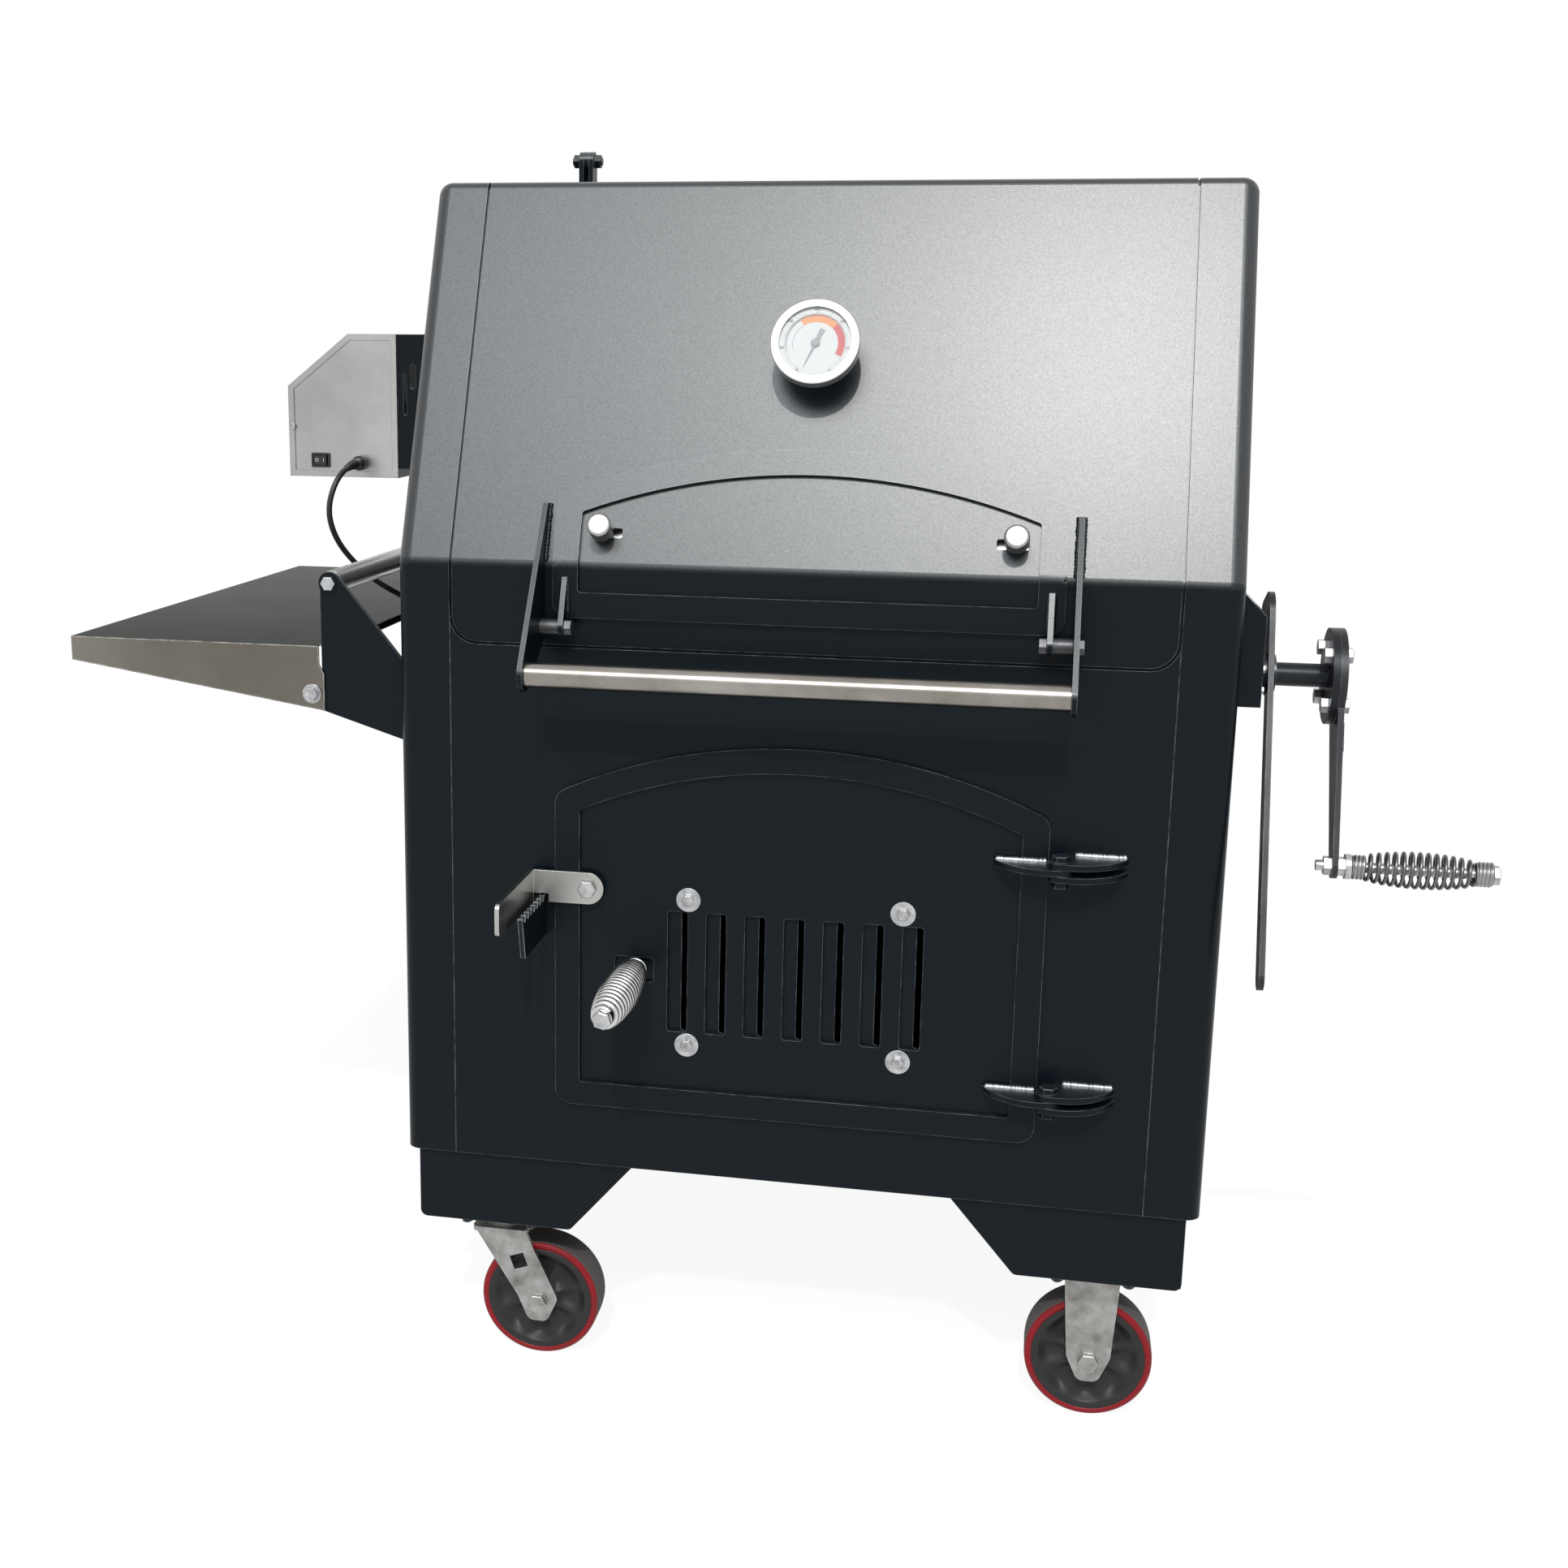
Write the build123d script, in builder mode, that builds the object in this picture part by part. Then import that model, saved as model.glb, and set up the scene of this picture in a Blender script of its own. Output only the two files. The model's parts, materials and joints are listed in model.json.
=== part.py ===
"""Rotisserie spit roaster: a wheeled steel cabinet with a lift-up lid, a drop-down loading door in
the lid, a fire door with a sliding damper, a motor-driven spit and a cranked charcoal tray.

Millimetres, +Z up, +X to the operator's right, -Y towards the operator. Lengths are given from the
cabinet's own reference point: the floor below the middle of its front face."""

from build123d import *
from math import atan2, cos, pi, radians, sin, sqrt, tan
import os

os.makedirs("parts", exist_ok=True)

# ------------------------------------------------------------------ driving dimensions
# cabinet
cabinet_width = 962.0
cabinet_depth = 864.0
underside_z = 288.0
crease_z = 1026.0
roof_z = 1465.0
slant_run = 182.0
sheet = 5.0
bend_r = 18.0
crease_r = 25.0
roof_r = 12.0
side_band = 65.0
# lid
lid_sheet = 4.5
lid_gap = 3.0
lid_drop = 93.0
back_strip = 64.0
lid_bottom_z = crease_z - lid_drop
lid_back_y = cabinet_depth - back_strip
lid_corner_r = 30.0
seat_bar = 5.0
seat_overlap = 18.0
# plates and fits
plate = 6.0
door_gap = 0.5
door_overlap = 20.0
plug_gap = 3.0
slide_gap = 0.5
turn_gap = 0.4
pin_gap = 0.1
hole_gap = 0.05
bolt_r = 5.0
bolt_af = 16.0
bolt_head = 6.5
nut_h = 8.0
washer_r, washer_t = 12.0, 1.6
# fire door
door_half = 287.0
door_bottom_z = 368.0
door_spring_z = 757.0
door_apex_z = 824.0
frame_bar = 30.0
door_corner_r = 20.0
hinge_x = 300.0
hinge_out = 30.0
hinge_reach = 75.0
hinge_eye_r = 14.0
hinge_zs = (432.0, 706.0)
leaf_h = 7.0
# vents and damper
vent_w, vent_h, vent_pitch, vent_count = 24.0, 150.0, 46.2, 7
vent_z = 544.5
vent_corner_r = 4.0
damper_sheet = 3.0
damper_bar = 24.2
damper_cover = 16.0
damper_open, damper_shut = 15.0, 8.0
guide_x, guide_dz = 126.0, 90.5
guide_bolt_r = 4.0
guide_flange_r = 14.5
damper_rod_x, damper_rod_rise = -188.0, 3.0
damper_rod_out = 195.0
# fire door latch
latch_x, latch_z = -246.0, 644.0
latch_bar = 5.0
latch_height = 38.5
latch_bolt_af = 19.0
latch_tab_x = -317.0
latch_tab_out = 165.0
keeper_x = -304.0
keeper_out, keeper_lean = 116.0, 14.0
keeper_top_z, keeper_height = 633.0, 52.0
# lid door, measured up the slope from the crease
lid_door_half = 290.0
lid_door_drop = 60.0
lid_door_bottom_z = crease_z - lid_door_drop
lid_door_spring, lid_door_apex = 83.0, 143.0
lid_door_frame_bar = 30.0
lid_door_corner_r = 18.0
lid_pivot_out, lid_pivot_drop = 20.0, 69.0
lid_pivot_y, lid_pivot_z = -lid_pivot_out, crease_z - lid_pivot_drop
link_x = 272.0
catch_x, catch_s = 234.0, 40.0
catch_in, catch_out, catch_drop = 20.0, 8.0, 13.0
knob_r, knob_h, knob_out = 14.0, 22.0, 12.0
# lid handle
arm_x = 303.0
bar_y, bar_z, bar_r, bar_wall = -88.0, 912.0, 14.5, 2.5
# gauge
gauge_s, gauge_r, gauge_out, gauge_case_h = 254.5, 50.5, 54.0, 15.0
gauge_wall, glass_t, bezel_lip = 2.5, 2.0, 6.7
dial_well_r, dial_well, needle_len, needle_tail = 34.0, 3.0, 32.0, 18.0
stem_r, stem_in, stem_hex = 6.0, 70.0, 17.0
# lid hinges and prop
lid_hinge_x, lid_hinge_len, lid_hinge_r = 300.0, 80.0, 9.0
lid_leaf_reach = 48.0
prop_rise = 41.0
prop_x, prop_y, prop_z = -343.5, 400.0, roof_z + prop_rise
prop_len, prop_r = 250.0, 12.0
# side shelf
shelf_z, shelf_out_x, shelf_in_x = 912.0, 924.0, 588.0
shelf_inset = 44.0
shelf_front_y, shelf_back_y = shelf_inset, cabinet_depth - shelf_inset
shelf_sheet = 2.0
shelf_lip, shelf_flange = 30.0, 80.0
shelf_pivot_x, shelf_pivot_z = 606.0, 853.0
gusset_x, gusset_z, gusset_foot_z, gusset_root_z = 594.0, 831.0, 797.0, 886.0
rail_x, rail_z, rail_r, rail_wall = 582.0, 989.0, 14.5, 2.0
# motor
motor_left, motor_right = 728.0, 577.0
motor_bottom, motor_top, motor_shoulder = 1098.0, 1284.0, 1216.0
motor_cut = 85.0
motor_front_y, motor_depth = 300.0, 200.0
motor_sheet, motor_rim = 1.5, 8.0
switch_x, switch_z, switch_w, switch_h = -684.5, 1119.5, 25.0, 19.0
gland_x, gland_z, gland_r = -628.0, 1117.0, 9.5
cord_d = 7.5
gland_nose = 24.0
# spit
spit_y, spit_z = 400.0, 1190.0
spit_bar, spit_journal_r, spit_half = 25.0, 12.5, 440.0
spit_right_x = 503.0
spit_fork_x, prong_len, prong_r, prong_spread = 250.0, 150.0, 5.0, 55.0
# charcoal lift
crank_y, crank_z = 100.0, 917.0
shaft_r, shaft_wall = 13.35, 3.0
housing_out, housing_front, housing_back = 28.0, 50.0, 150.0
housing_bottom, housing_top = 886.0, 1016.0
housing_bolt_zs = (housing_bottom + 18, housing_bottom + 42)
housing_bolt_in, housing_bolt_h = 12.0, 3.0
flange_x, flange_t, flange_r, flange_pcd = 583.0, 8.0, 54.5, 80.0
arm_t, arm_len, arm_lean = 6.5, 216.0, 23.5
arm_root_w, arm_tip_w = 64.0, 28.0
lever_x, lever_t, lever_tail, lever_bar = 516.5, 6.5, 360.0, 30.0
lever_head_w, lever_head_h, lever_head_r, lever_rise = 95.0, 110.0, 30.0, 40.0
lever_hub_r = 25.0
grip_start, grip_coil, grip_end, grip_tip = 613.0, 626.0, 742.0, 761.0
pinion_pitch_r, pinion_teeth, pinion_w, tooth_h = 20.0, 20, 16.0, 4.3
tooth_root_w, tooth_tip_w = 3.8, 1.2
rack_x, rack_bottom, rack_top, rack_t = 330.0, 560.0, 942.0, 12.0
tray_half, tray_front, tray_gap = 395.0, 165.0, 35.0
tray_back = lid_back_y - tray_gap
tray_z, tray_wall_h, tray_lift = 600.0, 60.0, 180.0
tray_sheet, mesh_gap = 3.0, 0.2
guide_h, guide_wall = 30.0, 5.0
# legs and casters
leg_h = 94.0
leg_in, leg_front_y = 15.0, 8.0
leg_foot, leg_head = 194.0, 275.0
wheel_r, wheel_w, wheel_face_y = 76.2, 50.8, 45.0
swivel_x, rigid_x, trail = -371.0, 366.0, 50.0
fork_t, fork_gap, axle_r = 6.0, 3.0, 8.0
caster_plate_t = 6.0

# ------------------------------------------------------------------ derived values
half = cabinet_width / 2
band_edge = half - side_band
lid_half = band_edge - lid_gap
slope = atan2(slant_run, roof_z - crease_z)
lid_hinge_y = (lid_back_y + lid_back_y + lid_gap) / 2
lid_hinge_z = roof_z + lid_hinge_r + door_gap
right_reach = grip_tip + bolt_head
offset_x = (shelf_out_x - right_reach) / 2
offset_y = (damper_rod_out - cabinet_depth) / 2
caster_y = wheel_face_y + wheel_w / 2
caster_top = underside_z - leg_h


# ------------------------------------------------------------------ planes and outlines
def level(z):
    """Horizontal plane at height z; local axes are X and Y."""
    return Plane(origin=(offset_x, offset_y, z), x_dir=(1, 0, 0), z_dir=(0, 0, 1))


def facing(y):
    """Upright plane at depth y that faces the operator; local axes are X and Z."""
    return Plane(origin=(offset_x, offset_y + y, 0), x_dir=(1, 0, 0), z_dir=(0, -1, 0))


def across(x):
    """Upright plane at x that faces right; local axes are Y and Z."""
    return Plane(origin=(offset_x + x, offset_y, 0), x_dir=(0, 1, 0), z_dir=(1, 0, 0))


def sloped(out=0.0):
    """Plane parallel to the slanted front; local axes are X and up the slope from the crease."""
    base = Plane(origin=(offset_x, offset_y, crease_z), x_dir=(1, 0, 0), z_dir=(0, -cos(slope), sin(slope)))
    return base.offset(out)


def crease_at(inset):
    return (inset, crease_z - inset * tan(slope / 2))


def roof_at(inset):
    rise = (roof_z - inset - crease_z + inset * sin(slope)) / cos(slope)
    return (inset * cos(slope) + rise * sin(slope), roof_z - inset)


def soften(sketch, inset):
    """Round the crease and the roof's front bend of a side outline drawn at this inset."""
    for corner, radius in ((crease_at(inset), crease_r), (roof_at(inset), roof_r)):
        fillet(sketch.vertices().sort_by_distance((corner[0], corner[1], 0))[0], radius - inset)


def end_block(x, inset, radius):
    """One side of the cabinet as a solid block, its bends rounded, from x towards the middle."""
    with BuildPart() as block:
        with BuildSketch(across(x)) as profile:
            with BuildLine():
                Polyline(
                    (inset, underside_z + inset),
                    crease_at(inset),
                    roof_at(inset),
                    (cabinet_depth - inset, roof_z - inset),
                    (cabinet_depth - inset, underside_z + inset),
                    close=True,
                )
            make_face()
            soften(profile, inset)
        extrude(amount=side_band)
        rim = block.edges().group_by(Axis.X)[0]
        bends = rim.filter_by(
            lambda e: e.center().Z > underside_z + inset + 1
            and e.center().Y < offset_y + cabinet_depth - inset - 1
        )
        fillet(bends, radius)
    return block.part


def arch(half_w, bottom, spring, apex, inset, corner):
    """Arched door outline: straight sides and foot, a shallow arc on top, drawn in by inset."""
    rise = apex - spring
    radius = (half_w**2 + rise**2) / (2 * rise)
    w, r = half_w - inset, radius - inset
    side = apex - radius + sqrt(r**2 - w**2)
    with BuildSketch() as face:
        with BuildLine():
            Polyline((-w, side), (-w, bottom + inset), (w, bottom + inset), (w, side))
            ThreePointArc((w, side), (0, apex - inset), (-w, side))
        make_face()
        fillet(face.vertices(), max(corner - inset, vent_corner_r))
    return face.sketch


def fire_arch(inset):
    return arch(door_half, door_bottom_z, door_spring_z, door_apex_z, inset, door_corner_r)


def slope_arch(inset, foot):
    """The lid door's outline on the slope, carried straight down past the crease to foot."""
    return arch(lid_door_half, foot - inset, lid_door_spring, lid_door_apex, inset, lid_door_corner_r)


def bent_band(outer, inner, foot_z, reach, half_w):
    """A sheet that follows the front and the slope between two insets, from foot_z up by reach."""
    top_out = (crease_at(outer)[0] + reach * sin(slope), crease_at(outer)[1] + reach * cos(slope))
    top_in = (crease_at(inner)[0] + reach * sin(slope), crease_at(inner)[1] + reach * cos(slope))
    with BuildPart() as band:
        with BuildSketch(across(-half_w)) as profile:
            with BuildLine():
                Polyline(
                    (outer, foot_z), crease_at(outer), top_out, top_in, crease_at(inner), (inner, foot_z),
                    close=True,
                )
            make_face()
            for inset in (outer, inner):
                spot = crease_at(inset)
                fillet(profile.vertices().sort_by_distance((spot[0], spot[1], 0))[0], crease_r - inset)
        extrude(amount=2 * half_w)
    return band.part


def lid_cut(inset):
    """The prism that opens the lid, or the lid door's frame, to the outline drawn in by inset."""
    depth = crease_r
    w = lid_door_half - inset
    foot = lid_door_bottom_z + inset
    with BuildPart() as cut:
        with BuildSketch(sloped(-depth)):
            add(slope_arch(inset, -2 * vent_corner_r))
        extrude(amount=2 * depth)
        with BuildSketch(facing(depth)):
            with Locations((0, (foot + crease_z) / 2)):
                Rectangle(2 * w, crease_z - foot)
        extrude(amount=2 * depth)
        corners = cut.edges().filter_by(Axis.Y).group_by(Axis.Z)[0]
        fillet(corners, max(lid_door_corner_r - inset, vent_corner_r))
    return cut.part


def hex_bolt(head_plane, radius, length, af=bolt_af, head=bolt_head, nut_at=None, flange=0.0):
    """Bolt whose head stands on a plane and whose shank runs back through it, with a nut at nut_at."""
    with BuildPart() as bolt:
        with BuildSketch(head_plane):
            RegularPolygon(af / 2, 6, major_radius=False)
        extrude(amount=head)
        chamfer(bolt.faces().sort_by(Axis(head_plane.origin, head_plane.z_dir))[-1].edges(), head / 8)
        if flange:
            with BuildSketch(head_plane):
                Circle(flange)
            extrude(amount=head / 4)
        with BuildSketch(head_plane):
            Circle(radius)
        extrude(amount=-length)
        if nut_at is not None:
            with BuildSketch(head_plane.offset(-nut_at)):
                RegularPolygon(af / 2, 6, major_radius=False)
            extrude(amount=-nut_h)
    return bolt.part


def at(plane, x, y):
    """The same plane with its origin moved to local x, y."""
    return Plane(origin=plane.from_local_coords((x, y, 0)), x_dir=plane.x_dir, z_dir=plane.z_dir)


def barrel_coil(plane, start, length, bore, end_r, mid_r, turns):
    """Barrel-shaped spring grip along the plane's normal: a sleeve whose outside is ribbed per turn."""
    pitch = length / turns
    axis_plane = Plane(origin=plane.offset(start).origin, x_dir=plane.z_dir, z_dir=plane.x_dir)

    def radius(t):
        return end_r + (mid_r - end_r) * sin(pi * t / length) ** 0.8

    with BuildPart() as coil:
        with BuildSketch(axis_plane):
            with BuildLine():
                Polyline((0, end_r - pitch / 4), (0, bore), (length, bore), (length, end_r - pitch / 4))
                for k in reversed(range(turns)):
                    a, b = k * pitch, (k + 1) * pitch
                    ra = max(radius(a), end_r) - pitch / 4
                    rb = max(radius(b), end_r) - pitch / 4
                    ThreePointArc((b, rb), ((a + b) / 2, radius((a + b) / 2) + pitch / 6), (a, ra))
            make_face()
        revolve(axis=Axis(axis_plane.origin, axis_plane.x_dir))
    return coil.part


# ------------------------------------------------------------------ cabinet shell
with BuildPart() as left_side:
    add(end_block(-half, 0, bend_r))
    add(end_block(-half + sheet, sheet, bend_r - sheet), mode=Mode.SUBTRACT)
    for y, z, r in ((spit_y, spit_z, spit_journal_r + plate), (crank_y, crank_z, shaft_r + sheet)):
        with BuildSketch(at(across(-half), y, z)):
            Circle(r)
        extrude(amount=2 * sheet, mode=Mode.SUBTRACT)
left_side.part.label = "left_side"
export_step(left_side.part, "parts/left_side.step")

with BuildPart() as right_side:
    add(mirror(left_side.part, about=across(0)))
right_side.part.label = "right_side"
export_step(right_side.part, "parts/right_side.step")

seam_z = lid_bottom_z - lid_gap
ear_r = lid_corner_r + lid_gap
with BuildPart() as front_wall:
    with BuildSketch(facing(0)):
        with Locations((0, (underside_z + seam_z + ear_r) / 2)):
            Rectangle(2 * band_edge, seam_z + ear_r - underside_z)
        with Locations((0, seam_z + 2 * ear_r)):
            RectangleRounded(2 * band_edge, 4 * ear_r, ear_r - 0.01, mode=Mode.SUBTRACT)
        add(fire_arch(door_overlap), mode=Mode.SUBTRACT)
    extrude(amount=-sheet)
    guide_z = tray_z + tray_wall_h + tray_lift + guide_wall
    rack_front = crank_y + pinion_pitch_r - tooth_h / 2 + mesh_gap
    rack_back = rack_front + rack_t + tooth_h
    for side in (-1, 1):
        with BuildSketch(level(guide_z)):
            with Locations((side * rack_x, (sheet + rack_back + guide_wall) / 2)):
                Rectangle(pinion_w + 2 * (guide_wall + slide_gap), rack_back + guide_wall - sheet)
            with Locations((side * rack_x, (sheet + rack_back + slide_gap) / 2)):
                Rectangle(pinion_w + 2 * slide_gap, rack_back + slide_gap - sheet, mode=Mode.SUBTRACT)
        extrude(amount=guide_h)
front_wall.part.label = "front_wall"
export_step(front_wall.part, "parts/front_wall.step")

with BuildPart() as back_wall:
    with BuildSketch(across(-band_edge)):
        with BuildLine():
            Polyline(
                (cabinet_depth, underside_z),
                (cabinet_depth, roof_z),
                (lid_back_y + lid_gap, roof_z),
                (lid_back_y + lid_gap, roof_z - sheet),
                (cabinet_depth - sheet, roof_z - sheet),
                (cabinet_depth - sheet, underside_z),
                close=True,
            )
        make_face()
    extrude(amount=2 * band_edge)
back_wall.part.label = "back_wall"
export_step(back_wall.part, "parts/back_wall.step")

with BuildPart() as floor_plate:
    with BuildSketch(level(underside_z)):
        with Locations((0, cabinet_depth / 2)):
            Rectangle(2 * band_edge, cabinet_depth - 2 * sheet)
    extrude(amount=sheet)
floor_plate.part.label = "floor_plate"
export_step(floor_plate.part, "parts/floor_plate.step")

with BuildPart() as lid_seat:
    for side in (-1, 1):
        inner, outer = lid_half - seat_overlap, band_edge + seat_overlap
        with BuildSketch(across(side * inner)) as strip:
            with BuildLine():
                Polyline(
                    (sheet, seam_z - seat_overlap),
                    crease_at(sheet),
                    roof_at(sheet),
                    (lid_back_y + seat_overlap, roof_z - sheet),
                    (lid_back_y + seat_overlap, roof_z - sheet - seat_bar),
                    roof_at(sheet + seat_bar),
                    crease_at(sheet + seat_bar),
                    (sheet + seat_bar, seam_z - seat_overlap),
                    close=True,
                )
            make_face()
            fillet(strip.vertices().sort_by_distance((*crease_at(sheet), 0))[0], crease_r - sheet)
            fillet(strip.vertices().sort_by_distance((*roof_at(sheet), 0))[0], roof_r - sheet)
        extrude(amount=side * (outer - inner))
    with BuildSketch(facing(sheet)):
        with Locations((0, lid_bottom_z)):
            Rectangle(2 * lid_half, 2 * seat_overlap)
    extrude(amount=-seat_bar)
    with BuildSketch(level(roof_z - sheet)):
        with Locations((0, lid_back_y)):
            Rectangle(2 * lid_half, 2 * seat_overlap)
    extrude(amount=-seat_bar)
lid_seat.part.label = "lid_seat"
export_step(lid_seat.part, "parts/lid_seat.step")

# ------------------------------------------------------------------ legs and casters
leg_x = half - leg_in
caster_ys = (caster_y, cabinet_depth - caster_y)
plate_holes = (84.0, 70.0)
bearing_h = 16.0


def skirt(y, into):
    """Pair of skirt plates across the front or back at depth y, thickness towards into."""
    with BuildPart() as pair:
        for side in (-1, 1):
            with BuildSketch(facing(y)) as face:
                with BuildLine():
                    Polyline(
                        (side * leg_x, underside_z),
                        (side * leg_x, caster_top),
                        (side * (leg_x - leg_foot), caster_top),
                        (side * (leg_x - leg_head), underside_z),
                        close=True,
                    )
                make_face()
                fillet(face.vertices().group_by(Axis.Y)[0], lid_door_corner_r / 2)
            extrude(amount=into * plate)
    return pair.part


with BuildPart() as legs:
    for y_face, into, direction in ((leg_front_y, -1, 1), (cabinet_depth - leg_front_y, 1, -1)):
        add(skirt(y_face, into))
        y_plate = y_face + direction * plate
        for side in (-1, 1):
            with BuildSketch(across(side * leg_x)):
                Polygon(
                    (y_plate, underside_z),
                    (y_plate, caster_top),
                    (y_plate + direction * leg_foot * 0.7, caster_top),
                    (y_plate + direction * leg_head * 0.9, underside_z),
                    align=None,
                )
            extrude(amount=-side * plate)
            with BuildSketch(level(caster_top)):
                with Locations((side * (leg_x - plate - 80), y_plate + direction * 65)):
                    Rectangle(160, 130)
            extrude(amount=plate)
    for x in (swivel_x, rigid_x):
        for y in caster_ys:
            with BuildSketch(level(caster_top)):
                with Locations((x, y)):
                    with GridLocations(*plate_holes, 2, 2):
                        Circle(guide_bolt_r + hole_gap)
            extrude(amount=plate, mode=Mode.SUBTRACT)
legs.part.label = "legs"
export_step(legs.part, "parts/legs.step")

fork_top = caster_top - caster_plate_t
fork_inner = wheel_w / 2 + fork_gap
fork_w, fork_foot, fork_tip, fork_window = 66.0, 26.0, 12.0, 19.0
fork_tip_r = 11.0


def fork(x_top, x_axle, y_mid, crown_z):
    """Two-armed caster fork: a crown plate at crown_z and tapered arms down to the axle."""
    with BuildPart() as part:
        with BuildSketch(level(crown_z)):
            with Locations((x_top, y_mid)):
                RectangleRounded(fork_w + 6, 2 * (fork_inner + fork_t), 8)
        extrude(amount=-fork_t)
        for side in (-1, 1):
            face_y = y_mid + side * fork_inner if side > 0 else y_mid - fork_inner - fork_t
            with BuildSketch(facing(face_y)) as cheek:
                with BuildLine():
                    Polyline(
                        (x_top - fork_w / 2, crown_z),
                        (x_top + fork_w / 2, crown_z),
                        (x_axle + fork_foot, wheel_r + fork_tip / 2),
                        (x_axle + fork_tip, wheel_r - fork_foot),
                        (x_axle - fork_tip, wheel_r - fork_foot),
                        (x_axle - fork_foot, wheel_r + fork_tip / 2),
                        close=True,
                    )
                make_face()
                fillet(cheek.vertices().group_by(Axis.Y)[0], fork_tip_r)
                fillet(cheek.vertices().filter_by_position(Axis.Y, wheel_r, wheel_r + fork_tip), fork_tip_r)
                with Locations((x_axle, wheel_r)):
                    Circle(axle_r + hole_gap, mode=Mode.SUBTRACT)
                if x_top != x_axle:
                    with Locations(((x_top + x_axle) / 2, (crown_z + wheel_r) / 2 + fork_tip / 2)):
                        Rectangle(fork_window, fork_window, rotation=20, mode=Mode.SUBTRACT)
            extrude(amount=-fork_t)
    return part.part


def axle(x, y_mid):
    """Axle bolt along Y with its head at the front and a nut at the back."""
    reach = fork_inner + fork_t
    head_plane = at(facing(y_mid - reach), x, wheel_r)
    return hex_bolt(head_plane, axle_r, 2 * reach + nut_h, af=22.0, head=8.0, nut_at=2 * reach)


with BuildPart() as caster_mounts:
    for y in caster_ys:
        for x in (swivel_x, rigid_x):
            with BuildSketch(level(fork_top)):
                with Locations((x, y)):
                    RectangleRounded(110, 96, 10)
                    with GridLocations(*plate_holes, 2, 2):
                        Circle(guide_bolt_r + hole_gap, mode=Mode.SUBTRACT)
            extrude(amount=caster_plate_t)
        with BuildSketch(level(fork_top)):
            with Locations((swivel_x, y)):
                Circle(28)
        extrude(amount=-bearing_h / 2 + turn_gap)
        with BuildSketch(level(fork_top - bearing_h / 2 + turn_gap)):
            with Locations((swivel_x, y)):
                Circle(10)
        extrude(amount=-bearing_h / 2 - fork_t - nut_h / 2)
        with BuildSketch(level(fork_top - bearing_h - fork_t - turn_gap)):
            with Locations((swivel_x, y)):
                Circle(15)
        extrude(amount=-bearing_h / 4)
        add(fork(rigid_x, rigid_x, y, fork_top))
        add(axle(rigid_x, y))
caster_mounts.part.label = "caster_mounts"
export_step(caster_mounts.part, "parts/caster_mounts.step")

swivel_crown = fork_top - bearing_h
for name, y in (("front_swivel_fork", caster_ys[0]), ("rear_swivel_fork", caster_ys[1])):
    with BuildPart() as swivel_fork:
        add(fork(swivel_x, swivel_x + trail, y, swivel_crown))
        with BuildSketch(level(swivel_crown)):
            with Locations((swivel_x, y)):
                Circle(26)
        extrude(amount=bearing_h / 2)
        with BuildSketch(level(swivel_crown + bearing_h)):
            with Locations((swivel_x, y)):
                Circle(10 + pin_gap)
        extrude(amount=-2 * bearing_h, mode=Mode.SUBTRACT)
        add(axle(swivel_x + trail, y))
    swivel_fork.part.label = name
    export_step(swivel_fork.part, f"parts/{name}.step")

wheel_places = {
    "front_left_wheel": (swivel_x + trail, caster_ys[0]),
    "rear_left_wheel": (swivel_x + trail, caster_ys[1]),
    "front_right_wheel": (rigid_x, caster_ys[0]),
    "rear_right_wheel": (rigid_x, caster_ys[1]),
}
tread, web, hub_r, rib_count = 9.0, 14.0, 20.0, 8
for name, (x, y) in wheel_places.items():
    with BuildPart() as wheel:
        hub_plane = at(facing(y), x, wheel_r)
        with BuildSketch(hub_plane):
            Circle(wheel_r - tread)
        extrude(amount=wheel_w / 2, both=True)
        for side in (-1, 1):
            with BuildSketch(hub_plane.offset(side * wheel_w / 2)):
                Circle(wheel_r - tread - 8)
                Circle(hub_r, mode=Mode.SUBTRACT)
                with PolarLocations((wheel_r - tread) / 2, rib_count):
                    Rectangle(wheel_r, 5, mode=Mode.SUBTRACT)
            extrude(amount=-side * (wheel_w / 2 - web / 2), mode=Mode.SUBTRACT)
        with BuildSketch(hub_plane):
            Circle(wheel_r)
            Circle(wheel_r - tread, mode=Mode.SUBTRACT)
        extrude(amount=wheel_w / 2 - 1, both=True)
        with BuildSketch(hub_plane):
            Circle(axle_r + pin_gap)
        extrude(amount=wheel_w, both=True, mode=Mode.SUBTRACT)
    wheel.part.label = name
    export_step(wheel.part, f"parts/{name}.step")

# ------------------------------------------------------------------ lid
with BuildPart() as lid_panel:
    with BuildSketch(across(-lid_half)) as profile:
        with BuildLine():
            Polyline(
                (0, lid_bottom_z), crease_at(0), roof_at(0), (lid_back_y, roof_z),
                (lid_back_y, roof_z - lid_sheet), roof_at(lid_sheet), crease_at(lid_sheet),
                (lid_sheet, lid_bottom_z),
                close=True,
            )
        make_face()
        soften(profile, 0)
        soften(profile, lid_sheet)
    extrude(amount=2 * lid_half)
    fillet(lid_panel.edges().filter_by(Axis.Y).group_by(Axis.Z)[0], lid_corner_r)
    add(lid_cut(door_overlap), mode=Mode.SUBTRACT)
    with BuildSketch(at(sloped(-lid_corner_r), 0, gauge_s)):
        Circle(stem_r + hole_gap)
    extrude(amount=2 * lid_corner_r, mode=Mode.SUBTRACT)
lid_panel.part.label = "lid_panel"
export_step(lid_panel.part, "parts/lid_panel.step")

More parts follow.
